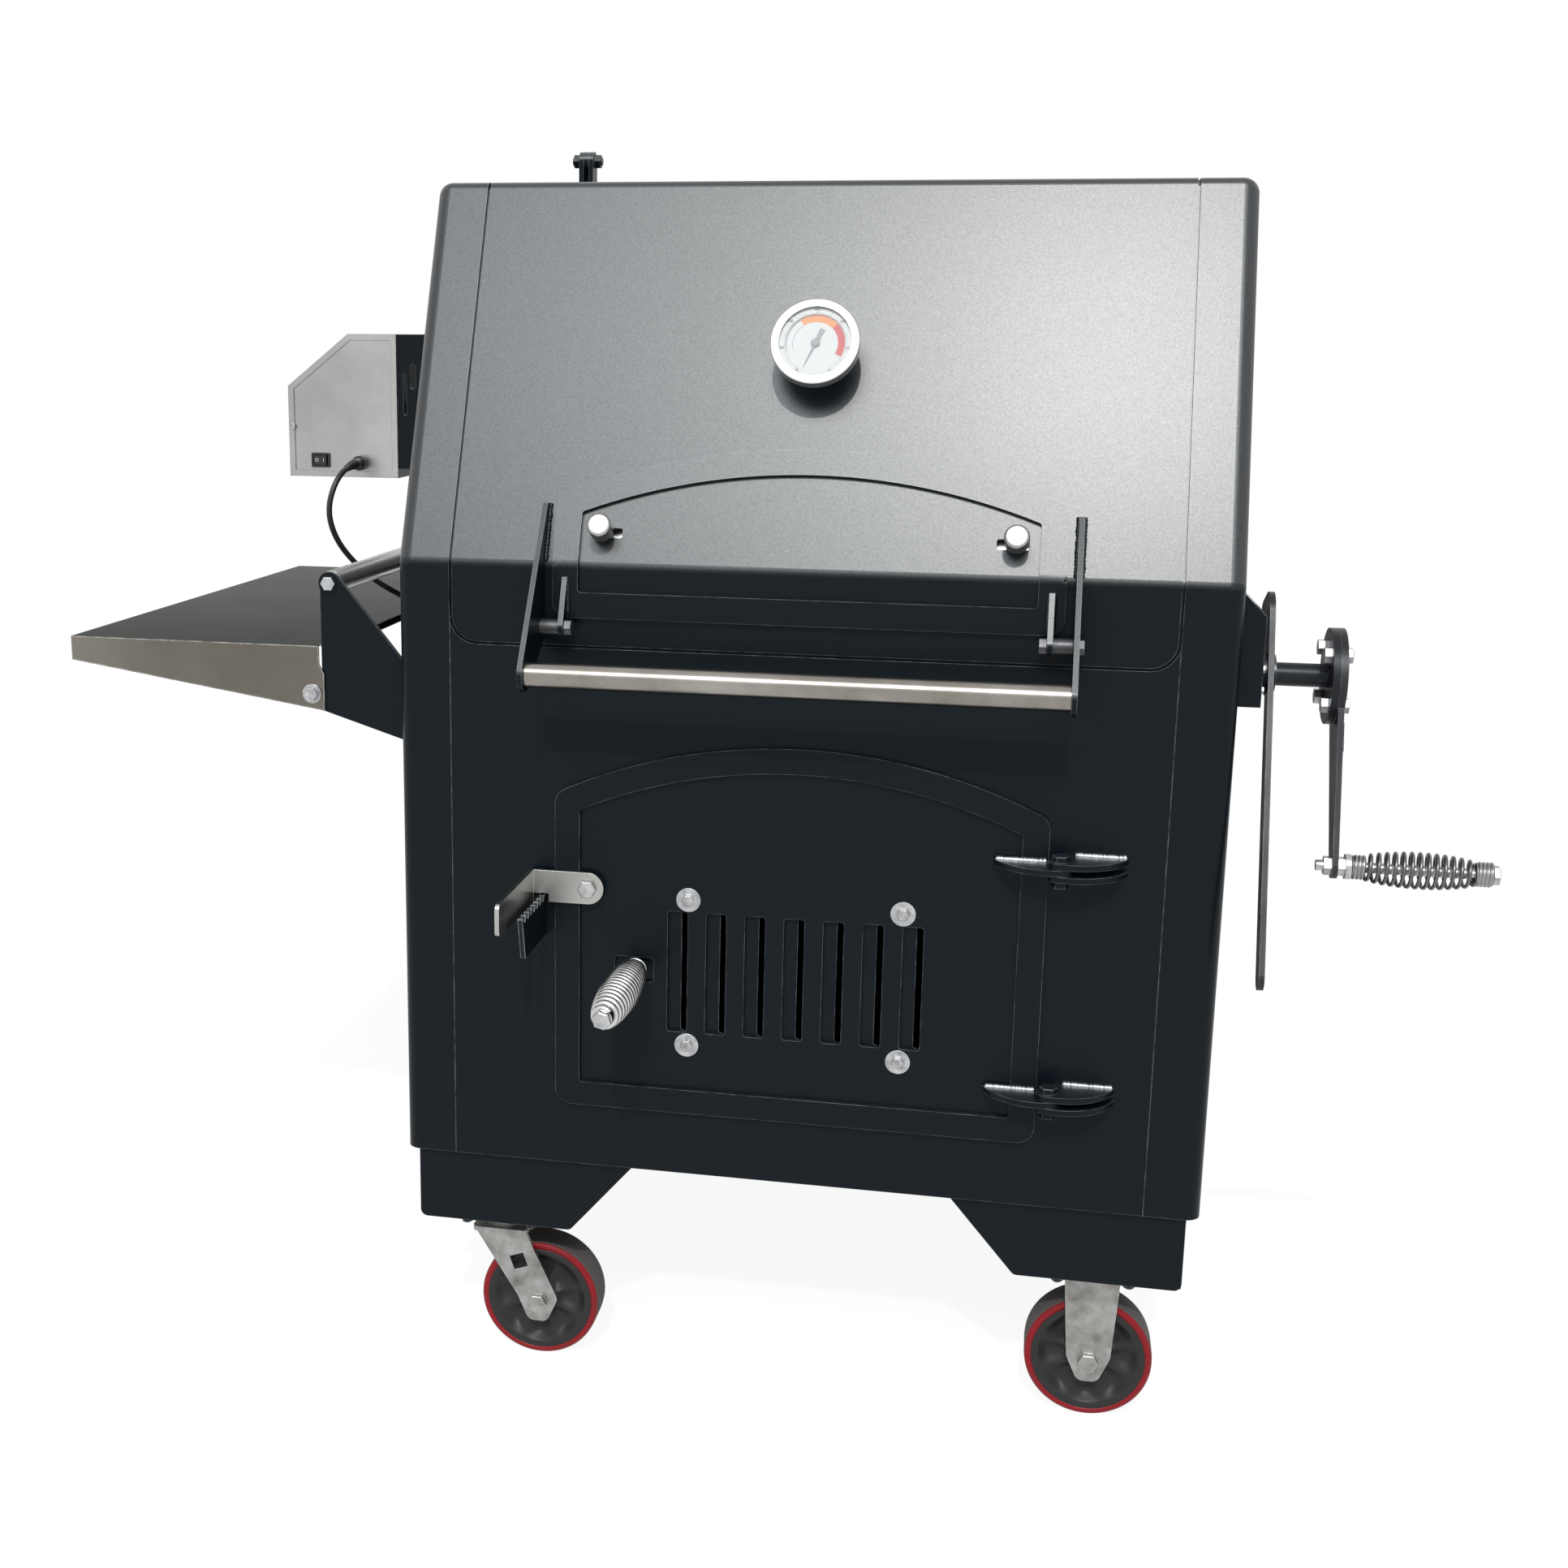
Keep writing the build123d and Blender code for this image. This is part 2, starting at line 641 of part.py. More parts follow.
arm_lap, arm_rise = 28.5, 70.0
arm_top, arm_back = (arm_lap, crease_z + arm_lap / tan(slope)), (arm_lap / 2, crease_z + arm_rise)
arm_eye_r, link_eye_r = 20.0, 11.0
with BuildPart() as handle_arms:
    with BuildSketch(across(arm_x - plate / 2)):
        with BuildLine():
            Polyline(
                arm_top, arm_back, (bar_y - 18, bar_z + 10), (bar_y, bar_z), (bar_y + 16, bar_z - 13),
                (-6, bar_z + 28), (-1.5, crease_z - 26), (0, crease_z),
                close=True,
            )
        make_face()
        with Locations((bar_y, bar_z)):
            Circle(arm_eye_r)
        with Locations((lid_pivot_y, lid_pivot_z)):
            Circle(bolt_r + hole_gap, mode=Mode.SUBTRACT)
    extrude(amount=plate)
    mirror(about=across(0))
handle_arms.part.label = "handle_arms"
export_step(handle_arms.part, "parts/handle_arms.step")

arm_inner = arm_x - plate / 2
arm_outer = arm_x + plate / 2
with BuildPart() as handle_bar:
    bar_plane = at(across(0), bar_y, bar_z)
    with BuildSketch(bar_plane):
        Circle(bar_r)
    extrude(amount=arm_inner, both=True)
    with BuildSketch(bar_plane):
        Circle(bar_r - bar_wall)
    extrude(amount=arm_inner - 2 * bar_r, both=True, mode=Mode.SUBTRACT)
handle_bar.part.label = "handle_bar"
export_step(handle_bar.part, "parts/handle_bar.step")

with BuildPart() as lid_bolts:
    pivot_plane = at(across(arm_outer), lid_pivot_y, lid_pivot_z)
    link_inner = link_x - turn_gap
    add(hex_bolt(pivot_plane, bolt_r, arm_outer - link_inner + nut_h, nut_at=arm_outer - link_inner))
    with BuildSketch(at(across(link_x + plate + turn_gap), lid_pivot_y, lid_pivot_z)):
        Circle(bolt_r + 4)
    extrude(amount=arm_inner - link_x - plate - turn_gap)
    mirror(about=across(0))
lid_bolts.part.label = "lid_bolts"
export_step(lid_bolts.part, "parts/lid_bolts.step")

# gauge
gauge_plane = at(sloped(0), 0, gauge_s)
gauge_back = gauge_out - gauge_case_h
with BuildPart() as gauge_case:
    with BuildSketch(gauge_plane.offset(gauge_back)):
        Circle(gauge_r)
    extrude(amount=gauge_case_h)
    fillet(gauge_case.edges(), 2)
    with BuildSketch(gauge_plane.offset(gauge_back + gauge_wall)):
        Circle(gauge_r - gauge_wall)
    extrude(amount=gauge_case_h - 2 * gauge_wall, mode=Mode.SUBTRACT)
    with BuildSketch(gauge_plane.offset(gauge_out)):
        Circle(gauge_r - gauge_wall - bezel_lip)
    extrude(amount=-gauge_wall, mode=Mode.SUBTRACT)
    with BuildSketch(gauge_plane.offset(gauge_back)):
        Circle(stem_r)
    extrude(amount=-gauge_back - stem_in)
    with BuildSketch(gauge_plane):
        RegularPolygon(stem_hex / 2, 6, major_radius=False)
    extrude(amount=bolt_head * 2)
    with BuildSketch(gauge_plane.offset(-lid_sheet)):
        RegularPolygon(stem_hex / 2, 6, major_radius=False)
    extrude(amount=-nut_h)
gauge_case.part.label = "gauge_case"
export_step(gauge_case.part, "parts/gauge_case.step")

spindle_r, needle_t = 1.5, 0.8
dial_back = gauge_back + gauge_wall
dial_top = gauge_out - gauge_wall - glass_t - slide_gap
with BuildPart() as gauge_dial:
    with BuildSketch(gauge_plane.offset(dial_back)):
        Circle(gauge_r - gauge_wall - pin_gap)
    extrude(amount=dial_top - dial_back)
    with BuildSketch(gauge_plane.offset(dial_top)):
        Circle(dial_well_r)
    extrude(amount=-dial_well, mode=Mode.SUBTRACT)
    with BuildSketch(gauge_plane.offset(dial_top - dial_well)):
        Circle(spindle_r)
    extrude(amount=dial_well)
gauge_dial.part.label = "gauge_dial"
export_step(gauge_dial.part, "parts/gauge_dial.step")

with BuildPart() as gauge_glass:
    with BuildSketch(gauge_plane.offset(gauge_out - gauge_wall)):
        Circle(gauge_r - gauge_wall - pin_gap)
    extrude(amount=-glass_t)
gauge_glass.part.label = "gauge_glass"
export_step(gauge_glass.part, "parts/gauge_glass.step")

needle_angle = radians(247)
needle_plane = gauge_plane.offset(dial_top - dial_well / 2 - needle_t / 2)
with BuildPart() as gauge_needle:
    with BuildSketch(needle_plane):
        Circle(5)
        with BuildLine():
            tip = (needle_len * cos(needle_angle), needle_len * sin(needle_angle))
            wide = (spindle_r * sin(needle_angle), -spindle_r * cos(needle_angle))
            tail = (-needle_tail * cos(needle_angle), -needle_tail * sin(needle_angle))
            Polyline(
                tip, wide, (tail[0] + 2 * wide[0], tail[1] + 2 * wide[1]),
                (tail[0] - 2 * wide[0], tail[1] - 2 * wide[1]), (-wide[0], -wide[1]),
                close=True,
            )
        make_face()
        Circle(spindle_r + pin_gap, mode=Mode.SUBTRACT)
    extrude(amount=needle_t)
gauge_needle.part.label = "gauge_needle"
export_step(gauge_needle.part, "parts/gauge_needle.step")

# lid hinge leaves, and the prop's clevis on the roof's left edge
lug_gap = plate / 2 + turn_gap
knuckle_half, knuckle_split, leaf_t = lid_hinge_len / 2, 13.5, 4.0
leaf_clear = 8.0
with BuildPart() as lid_fittings:
    for side in (-1, 1):
        x = side * lid_hinge_x
        with BuildSketch(level(roof_z)):
            with Locations((x, lid_hinge_y - (lid_leaf_reach + leaf_clear) / 2)):
                Rectangle(lid_hinge_len, lid_leaf_reach - leaf_clear)
            with Locations((x, lid_hinge_y - lid_leaf_reach / 2)):
                Rectangle(2 * knuckle_split, lid_leaf_reach)
        extrude(amount=leaf_t)
        with BuildSketch(at(across(x), lid_hinge_y, lid_hinge_z)):
            Circle(lid_hinge_r)
        extrude(amount=knuckle_split, both=True)
        with BuildSketch(at(across(x), lid_hinge_y, lid_hinge_z)):
            Circle(bolt_r + pin_gap)
        extrude(amount=knuckle_half, both=True, mode=Mode.SUBTRACT)
    for side in (-1, 1):
        with BuildSketch(at(across(prop_x + side * lug_gap), prop_y, 0)):
            with Locations((0, (roof_z + prop_z) / 2)):
                Rectangle(2 * prop_r, prop_z - roof_z)
            with Locations((0, prop_z)):
                Circle(prop_r)
        extrude(amount=side * plate)
    lug_out = lug_gap + plate
    with BuildSketch(at(across(prop_x), prop_y, prop_z)):
        Circle(bolt_r)
    extrude(amount=lug_out + nut_h + 2, both=True)
    for side in (-1, 1):
        with BuildSketch(at(across(prop_x + side * lug_out), prop_y, prop_z)):
            RegularPolygon(bolt_af / 2, 6, major_radius=False)
        extrude(amount=side * nut_h)
lid_fittings.part.label = "lid_fittings"
export_step(lid_fittings.part, "parts/lid_fittings.step")

prop_rest_z = roof_z + door_gap + plate
with BuildPart() as lid_prop:
    with BuildSketch(at(across(prop_x - plate / 2), prop_y, 0)):
        with Locations((0, prop_z)):
            Circle(prop_r)
        with BuildLine():
            knee, foot = (36, prop_rest_z), (prop_len, prop_rest_z)
            Polyline(
                (prop_r * 0.7, prop_z + prop_r * 0.7), (knee[0] + plate, knee[1] + plate),
                (foot[0], foot[1] + plate), (foot[0], foot[1] - plate), (knee[0] - plate, knee[1] - plate),
                (-prop_r * 0.7, prop_z - prop_r * 0.7),
                close=True,
            )
        make_face()
        with Locations(foot):
            Circle(plate)
        with Locations((0, prop_z)):
            Circle(bolt_r + pin_gap, mode=Mode.SUBTRACT)
    extrude(amount=plate)
lid_prop.part.label = "lid_prop"
export_step(lid_prop.part, "parts/lid_prop.step")

# ------------------------------------------------------------------ lid door
frame_out, frame_in = -door_gap - plate, -door_gap
band_reach, band_foot = 2 * lid_door_apex, lid_door_bottom_z - side_band
link_foot_z = crease_z - crease_r / 2
with BuildPart() as lid_door_frame:
    add(bent_band(frame_out, frame_in, band_foot, band_reach, half))
    add(lid_cut(0), mode=Mode.INTERSECT)
    add(lid_cut(lid_door_frame_bar), mode=Mode.SUBTRACT)
    for side in (-1, 1):
        with BuildSketch(at(across(side * (link_x + plate / 2)), 0, 0)):
            with BuildLine():
                Polyline(
                    (frame_in - 1, link_foot_z), (frame_out - 2, link_foot_z),
                    (lid_pivot_y - link_eye_r + 0.5, lid_pivot_z + 3),
                    (lid_pivot_y + link_eye_r - 2, lid_pivot_z - 4),
                    (frame_in - 1, lid_door_bottom_z + 4),
                    close=True,
                )
            make_face()
            with Locations((lid_pivot_y, lid_pivot_z)):
                Circle(link_eye_r)
                Circle(bolt_r + pin_gap, mode=Mode.SUBTRACT)
        extrude(amount=plate / 2, both=True)
lid_door_frame.part.label = "lid_door_frame"
export_step(lid_door_frame.part, "parts/lid_door_frame.step")

plug_inset = door_overlap + plug_gap
slot_h = 12.0
catch_plate, catch_h = 3.0, 28.0
catch_back = catch_drop
slot_far, slot_near = catch_x + catch_out + bolt_r + 1, catch_x - catch_in - bolt_r + 3
with BuildPart() as lid_door_panel:
    add(bent_band(frame_in, frame_in + plate, band_foot, band_reach, half))
    add(lid_cut(plug_inset), mode=Mode.INTERSECT)
    for side in (-1, 1):
        with BuildSketch(at(sloped(-lid_corner_r), side * (slot_far + slot_near) / 2, catch_s)):
            RectangleRounded(slot_far - slot_near, slot_h, 3)
        extrude(amount=2 * lid_corner_r, mode=Mode.SUBTRACT)
lid_door_panel.part.label = "lid_door_panel"
export_step(lid_door_panel.part, "parts/lid_door_panel.step")

catch_edge = lid_door_half - door_overlap - plug_gap - 1
for name, side in (("left_catch", -1), ("right_catch", 1)):
    with BuildPart() as catch:
        shank = at(sloped(-catch_back), side * catch_x, catch_s)
        with BuildSketch(at(sloped(-catch_back), side * (catch_edge - 33), catch_s)):
            RectangleRounded(66, catch_h, 3)
        extrude(amount=-catch_plate)
        with BuildSketch(shank):
            Circle(bolt_r)
        extrude(amount=catch_back + knob_out)
        with BuildSketch(at(sloped(door_gap + slide_gap), side * catch_x, catch_s)):
            Circle(bolt_r + 4)
        extrude(amount=2)
        with BuildSketch(at(sloped(knob_out), side * catch_x, catch_s)):
            Circle(knob_r)
        extrude(amount=knob_h)
        fillet(catch.faces().sort_by(Axis(shank.origin, shank.z_dir))[-1].edges(), 4)
    catch.part.label = name
    export_step(catch.part, f"parts/{name}.step")

# ------------------------------------------------------------------ fire door
ring_front = -door_gap - plate
panel_back = plate - door_gap
damper_front = panel_back + slide_gap
damper_back = damper_front + damper_sheet
rod_slot_shift, rod_slot_w, rod_slot_h = 3.0, 47.0, 30.0
vent_xs = [(k - (vent_count - 1) / 2) * vent_pitch for k in range(vent_count)]
eye = (hinge_x, -hinge_out)


def hinge_leaf(z, root_from, root_to, y):
    """Flat leaf at height z from the line root_from..root_to at depth y out to the hinge eye."""
    with BuildPart() as leaf:
        with BuildSketch(level(z - leaf_h / 2)):
            far = root_from if abs(root_from - eye[0]) > abs(root_to - eye[0]) else root_to
            reach, depth = eye[0] - far, eye[1] - hinge_eye_r - y
            with BuildLine():
                Line((root_from, y), (root_to, y))
                ThreePointArc((far, y), (far + 0.3 * reach, y + 0.72 * depth), (eye[0], y + depth))
                CenterArc(eye, hinge_eye_r, 0, 360)
            make_hull()
        extrude(amount=leaf_h)
    return leaf.part


with BuildPart() as fire_door_frame:
    with BuildSketch(facing(-door_gap)):
        add(fire_arch(0))
        add(fire_arch(frame_bar), mode=Mode.SUBTRACT)
    extrude(amount=plate)
    for z in hinge_zs:
        add(hinge_leaf(z, hinge_x - hinge_reach, door_half - 2, ring_front + 1))
    with BuildSketch(at(level(0), *eye)):
        Circle(plate + pin_gap)
    extrude(amount=roof_z, mode=Mode.SUBTRACT)
fire_door_frame.part.label = "fire_door_frame"
export_step(fire_door_frame.part, "parts/fire_door_frame.step")

with BuildPart() as fire_door_panel:
    with BuildSketch(facing(-door_gap)):
        add(fire_arch(door_overlap + plug_gap))
        for x in vent_xs:
            with Locations((x, vent_z)):
                RectangleRounded(vent_w, vent_h, vent_corner_r, mode=Mode.SUBTRACT)
        with Locations((damper_rod_x - rod_slot_shift, vent_z)):
            RectangleRounded(rod_slot_w, rod_slot_h, vent_corner_r, mode=Mode.SUBTRACT)
        with Locations((0, vent_z)):
            with GridLocations(2 * guide_x, 2 * guide_dz, 2, 2):
                Circle(guide_bolt_r + hole_gap, mode=Mode.SUBTRACT)
        with Locations((latch_x, latch_z)):
            Circle(bolt_r + hole_gap, mode=Mode.SUBTRACT)
    extrude(amount=-plate)
fire_door_panel.part.label = "fire_door_panel"
export_step(fire_door_panel.part, "parts/fire_door_panel.step")

latch_front = ring_front - 1 - latch_bar
with BuildPart() as door_bolts:
    for dx in (-guide_x, guide_x):
        for dz in (-guide_dz, guide_dz):
            head = at(facing(-door_gap), dx, vent_z + dz)
            reach = damper_back + slide_gap + door_gap
            add(hex_bolt(head, guide_bolt_r, reach + nut_h, 13.0, nut_at=reach, flange=guide_flange_r))
    pivot = at(facing(latch_front - turn_gap), latch_x, latch_z)
    spacer_len = -door_gap - latch_front - latch_bar - turn_gap
    reach = panel_back - latch_front + turn_gap
    add(hex_bolt(pivot, bolt_r, reach + nut_h, latch_bolt_af, nut_at=reach))
    with BuildSketch(at(facing(-door_gap), latch_x, latch_z)):
        Circle(bolt_r + 4)
    extrude(amount=spacer_len)
door_bolts.part.label = "door_bolts"
export_step(door_bolts.part, "parts/door_bolts.step")

damper_left, damper_right, damper_half_h = 214.0, 190.0, 108.0
with BuildPart() as damper_plate:
    with BuildSketch(facing(damper_front)):
        with Locations(((damper_right - damper_left) / 2, vent_z)):
            RectangleRounded(damper_left + damper_right, 2 * damper_half_h, vent_corner_r)
        for x in vent_xs:
            slot_w = vent_pitch - damper_bar
            with Locations((x - vent_w / 2 + damper_cover + slot_w / 2, vent_z)):
                RectangleRounded(slot_w, vent_h, vent_corner_r, mode=Mode.SUBTRACT)
        slide_mid = (damper_open - damper_shut) / 2
        for dz in (-guide_dz, guide_dz):
            for x in (-guide_x, guide_x):
                with Locations((x + slide_mid, vent_z + dz)):
                    SlotOverall(
                        damper_open + damper_shut + 2 * guide_bolt_r + 2, 2 * guide_bolt_r + 1,
                        mode=Mode.SUBTRACT,
                    )
    extrude(amount=-damper_sheet)
damper_plate.part.label = "damper_plate"
export_step(damper_plate.part, "parts/damper_plate.step")

rod_r, coil_from, coil_turns = 5.0, 10.0, 19
grip_ring_r, grip_ring_t, grip_tip_r, grip_barrel_r = 14.0, 2.0, 11.5, 22.0
coil_len = damper_rod_out - bolt_head - grip_ring_t - coil_from
with BuildPart() as damper_handle:
    rod_plane = at(facing(0), damper_rod_x, vent_z + damper_rod_rise)
    with BuildSketch(rod_plane.offset(-damper_front)):
        Circle(rod_r)
    extrude(amount=damper_rod_out + damper_front - bolt_head)
    with BuildSketch(rod_plane.offset(coil_from - grip_ring_t)):
        Circle(grip_ring_r)
    extrude(amount=grip_ring_t)
    with BuildSketch(rod_plane.offset(coil_from + coil_len)):
        Circle(grip_tip_r)
    extrude(amount=grip_ring_t)
    with BuildSketch(rod_plane.offset(damper_rod_out - bolt_head)):
        RegularPolygon(grip_tip_r - 1, 6, major_radius=False)
    extrude(amount=bolt_head)
    add(barrel_coil(rod_plane, coil_from, coil_len, rod_r - 0.5, grip_ring_r - 0.5, grip_barrel_r, coil_turns))
damper_handle.part.label = "damper_handle"
export_step(damper_handle.part, "parts/damper_handle.step")

# fire door latch and its keeper
notch_left, notch_right = latch_tab_x + 5.5, keeper_x + plate + 4.5
notch_clear = 2.0
with BuildPart() as latch_strip:
    with BuildSketch(facing(latch_front + latch_bar)):
        with Locations(((latch_tab_x + latch_x) / 2, latch_z)):
            Rectangle(latch_x - latch_tab_x, latch_height)
        with Locations((latch_x, latch_z)):
            Circle(latch_height / 2)
            Circle(bolt_r + pin_gap, mode=Mode.SUBTRACT)
        with Locations(((notch_left + notch_right) / 2, keeper_top_z + notch_clear - latch_height / 2)):
            Rectangle(notch_right - notch_left, latch_height, mode=Mode.SUBTRACT)
    extrude(amount=latch_bar)
    with BuildSketch(facing(latch_front + latch_bar)):
        with Locations((latch_tab_x + latch_bar / 2, latch_z)):
            Rectangle(latch_bar, latch_height)
    extrude(amount=latch_tab_out + latch_front + latch_bar)
    tab_corners = latch_strip.edges().filter_by(Axis.X).group_by(Axis.Y)[0]
    fillet(tab_corners, 8)
latch_strip.part.label = "latch_strip"
export_step(latch_strip.part, "parts/latch_strip.step")

tooth_count, tooth_pitch, tooth_depth, tooth_start = 7, 14.0, 6.0, 16.0
with BuildPart() as keeper_plate:
    with BuildSketch(across(keeper_x)) as keeper_face:
        with BuildLine():
            top = [(0, keeper_top_z)]
            for k in range(tooth_count):
                y = -tooth_start - k * tooth_pitch
                top.append((y, keeper_top_z))
                top.append((y - tooth_depth / 2, keeper_top_z - tooth_depth))
                top.append((y - tooth_pitch / 2, keeper_top_z - tooth_depth))
            Polyline(
                *top,
                (-keeper_out, keeper_top_z),
                (keeper_lean - keeper_out, keeper_top_z - keeper_height),
                (0, keeper_top_z - keeper_height),
                close=True,
            )
        make_face()
        fillet(keeper_face.vertices().sort_by_distance((-keeper_out, 0, 0))[0], vent_corner_r)
    extrude(amount=plate)
keeper_plate.part.label = "keeper_plate"
export_step(keeper_plate.part, "parts/keeper_plate.step")

with BuildPart() as body_hinges:
    leaf_step = leaf_h + turn_gap
    for z in hinge_zs:
        for side in (-1, 1):
            add(hinge_leaf(z + side * leaf_step, hinge_x + 2 * hinge_eye_r / 3, hinge_x + hinge_reach, 0))
        top_z = z + leaf_step + leaf_h / 2
        reach = 2 * leaf_step + leaf_h
        add(hex_bolt(at(level(top_z), *eye), plate, reach + nut_h, 18.0, 7.0, nut_at=reach))
    for side in (-1, 1):
        x = side * lid_hinge_x
        pin = at(across(x), lid_hinge_y, lid_hinge_z)
        for end in (-1, 1):
            with BuildSketch(pin.offset(end * (knuckle_split + door_gap))):
                Circle(lid_hinge_r)
            extrude(amount=end * (knuckle_half - knuckle_split - door_gap))
            middle = x + end * (knuckle_half + knuckle_split + door_gap) / 2
            with BuildSketch(level(roof_z)):
                with Locations((middle, lid_hinge_y + lid_leaf_reach / 2)):
                    Rectangle(knuckle_half - knuckle_split - door_gap, lid_leaf_reach)
            extrude(amount=leaf_t)
        with BuildSketch(pin):
            Circle(bolt_r)
        extrude(amount=knuckle_half + 2, both=True)
        with BuildSketch(level(roof_z)):
            with Locations((x, lid_hinge_y + (lid_leaf_reach + leaf_clear + 2) / 2)):
                Rectangle(lid_hinge_len, lid_leaf_reach - leaf_clear - 2)
        extrude(amount=leaf_t)
body_hinges.part.label = "body_hinges"
export_step(body_hinges.part, "parts/body_hinges.step")

# ------------------------------------------------------------------ side shelf, brackets and rail
bracket_ys = (shelf_front_y + 3, shelf_back_y - 3 - plate)
ear_r, top_r = 18.0, 14.0
with BuildPart() as shelf_brackets:
    for y in bracket_ys:
        with BuildSketch(facing(y + plate)):
            Polygon(
                (-rail_x - top_r + 2, rail_z), (-gusset_x, gusset_z), (-gusset_x + 3, gusset_z),
                (-half, gusset_foot_z), (-half, gusset_root_z), (-half - ear_r, gusset_root_z + 23),
                (-rail_x + top_r - 1, rail_z + 6),
                align=None,
            )
            with Locations((-rail_x, rail_z)):
                Circle(top_r)
            with Locations((-shelf_pivot_x, shelf_pivot_z)):
                Circle(ear_r)
            for x, z in ((-rail_x, rail_z), (-shelf_pivot_x, shelf_pivot_z)):
                with Locations((x, z)):
                    Circle(bolt_r + hole_gap, mode=Mode.SUBTRACT)
        extrude(amount=plate)
shelf_brackets.part.label = "shelf_brackets"
export_step(shelf_brackets.part, "parts/shelf_brackets.step")

with BuildPart() as rail:
    rail_plane = at(facing(bracket_ys[1]), -rail_x, rail_z)
    rail_len = bracket_ys[1] - bracket_ys[0] - plate
    with BuildSketch(rail_plane):
        Circle(rail_r)
    extrude(amount=rail_len)
    with BuildSketch(rail_plane.offset(2 * rail_r)):
        Circle(rail_r - rail_wall)
    extrude(amount=rail_len - 4 * rail_r, mode=Mode.SUBTRACT)
    with BuildSketch(rail_plane):
        Circle(bolt_r + hole_gap)
    extrude(amount=rail_len, mode=Mode.SUBTRACT)
rail.part.label = "rail"
export_step(rail.part, "parts/rail.step")

lip = 10.0
flange_edge = -shelf_pivot_x + 15.5
notch_w = bracket_ys[0] + plate + 2 - shelf_front_y - shelf_sheet
with BuildPart() as shelf:
    shelf_mid_y = (shelf_front_y + shelf_back_y) / 2
    shelf_d = shelf_back_y - shelf_front_y
    with BuildSketch(level(shelf_z - shelf_sheet)):
        with Locations((-(shelf_out_x + shelf_in_x) / 2, shelf_mid_y)):
            Rectangle(shelf_out_x - shelf_in_x, shelf_d)
        for side in (-1, 1):
            with Locations((-shelf_in_x, shelf_mid_y + side * (shelf_d - notch_w - shelf_sheet) / 2)):
                Rectangle(2 * lip + 4, notch_w + shelf_sheet + 2, mode=Mode.SUBTRACT)
    extrude(amount=shelf_sheet)
    for y in (shelf_front_y + shelf_sheet, shelf_back_y):
        with BuildSketch(facing(y)):
            Polygon(
                (-shelf_out_x, shelf_z), (-shelf_out_x, shelf_z - shelf_lip),
                (flange_edge, shelf_z - shelf_flange), (flange_edge, shelf_pivot_z + 25),
                (flange_edge - 6, shelf_pivot_z + 36), (flange_edge - 6, shelf_z),
                align=None,
            )
            with Locations((-shelf_pivot_x, shelf_pivot_z)):
                Circle(bolt_r + pin_gap, mode=Mode.SUBTRACT)
        extrude(amount=shelf_sheet)
    with BuildSketch(across(-shelf_out_x)):
        with Locations((shelf_mid_y, shelf_z - shelf_lip / 2)):
            Rectangle(shelf_d, shelf_lip)
    extrude(amount=shelf_sheet)
    with BuildSketch(across(-shelf_in_x)):
        with Locations((shelf_mid_y, shelf_z - lip / 2)):
            Rectangle(shelf_d - 2 * (notch_w + shelf_sheet + 1), lip)
    extrude(amount=-shelf_sheet)
shelf.part.label = "shelf"
export_step(shelf.part, "parts/shelf.step")

# ------------------------------------------------------------------ motor box
motor_back_y = motor_front_y + motor_depth
bracket_front = motor_front_y + 4
switch_frame_t, switch_body = 3.0, 20.0
screw_x, screw_z, screw_r = -motor_left + 5, 1163.0, 2.0


def motor_outline(inset):
    with BuildSketch() as face:
        Polygon(
            (-motor_left, motor_bottom), (-motor_left, motor_shoulder),
            (-motor_left + motor_cut, motor_top), (-motor_right, motor_top), (-motor_right, motor_bottom),
            align=None,
        )
        if inset:
            offset(amount=-inset, kind=Kind.INTERSECTION)
    return face.sketch


with BuildPart() as motor_case:
    with BuildSketch(facing(motor_back_y)):
        add(motor_outline(0))
    extrude(amount=motor_depth)
    with BuildSketch(facing(motor_back_y - motor_sheet)):
        add(motor_outline(motor_sheet))
    extrude(amount=motor_depth - 2 * motor_sheet, mode=Mode.SUBTRACT)
    with BuildSketch(facing(motor_front_y + motor_sheet)):
        add(motor_outline(motor_rim))
    extrude(amount=motor_sheet, mode=Mode.SUBTRACT)
    with BuildSketch(at(across(-motor_right), spit_y, spit_z)):
        Circle(spit_journal_r + 3)
    extrude(amount=-2 * motor_sheet, mode=Mode.SUBTRACT)
    with BuildSketch(at(facing(motor_front_y + sheet), screw_x, screw_z)):
        Circle(screw_r + hole_gap)
    extrude(amount=sheet, mode=Mode.SUBTRACT)
motor_case.part.label = "motor_case"
export_step(motor_case.part, "parts/motor_case.step")

cover_y = motor_front_y + motor_sheet
gland_body_r = 8.0
with BuildPart() as motor_cover:
    with BuildSketch(facing(cover_y)):
        add(motor_outline(motor_sheet + pin_gap))
        with Locations((switch_x, switch_z)):
            Rectangle(switch_w - 4 + 2 * hole_gap, switch_h - 4 + 2 * hole_gap, mode=Mode.SUBTRACT)
        with Locations((gland_x, gland_z)):
            Circle(gland_body_r + hole_gap, mode=Mode.SUBTRACT)
        with Locations((screw_x, screw_z)):
            Circle(screw_r + hole_gap, mode=Mode.SUBTRACT)
    extrude(amount=-motor_sheet)
motor_cover.part.label = "motor_cover"
export_step(motor_cover.part, "parts/motor_cover.step")

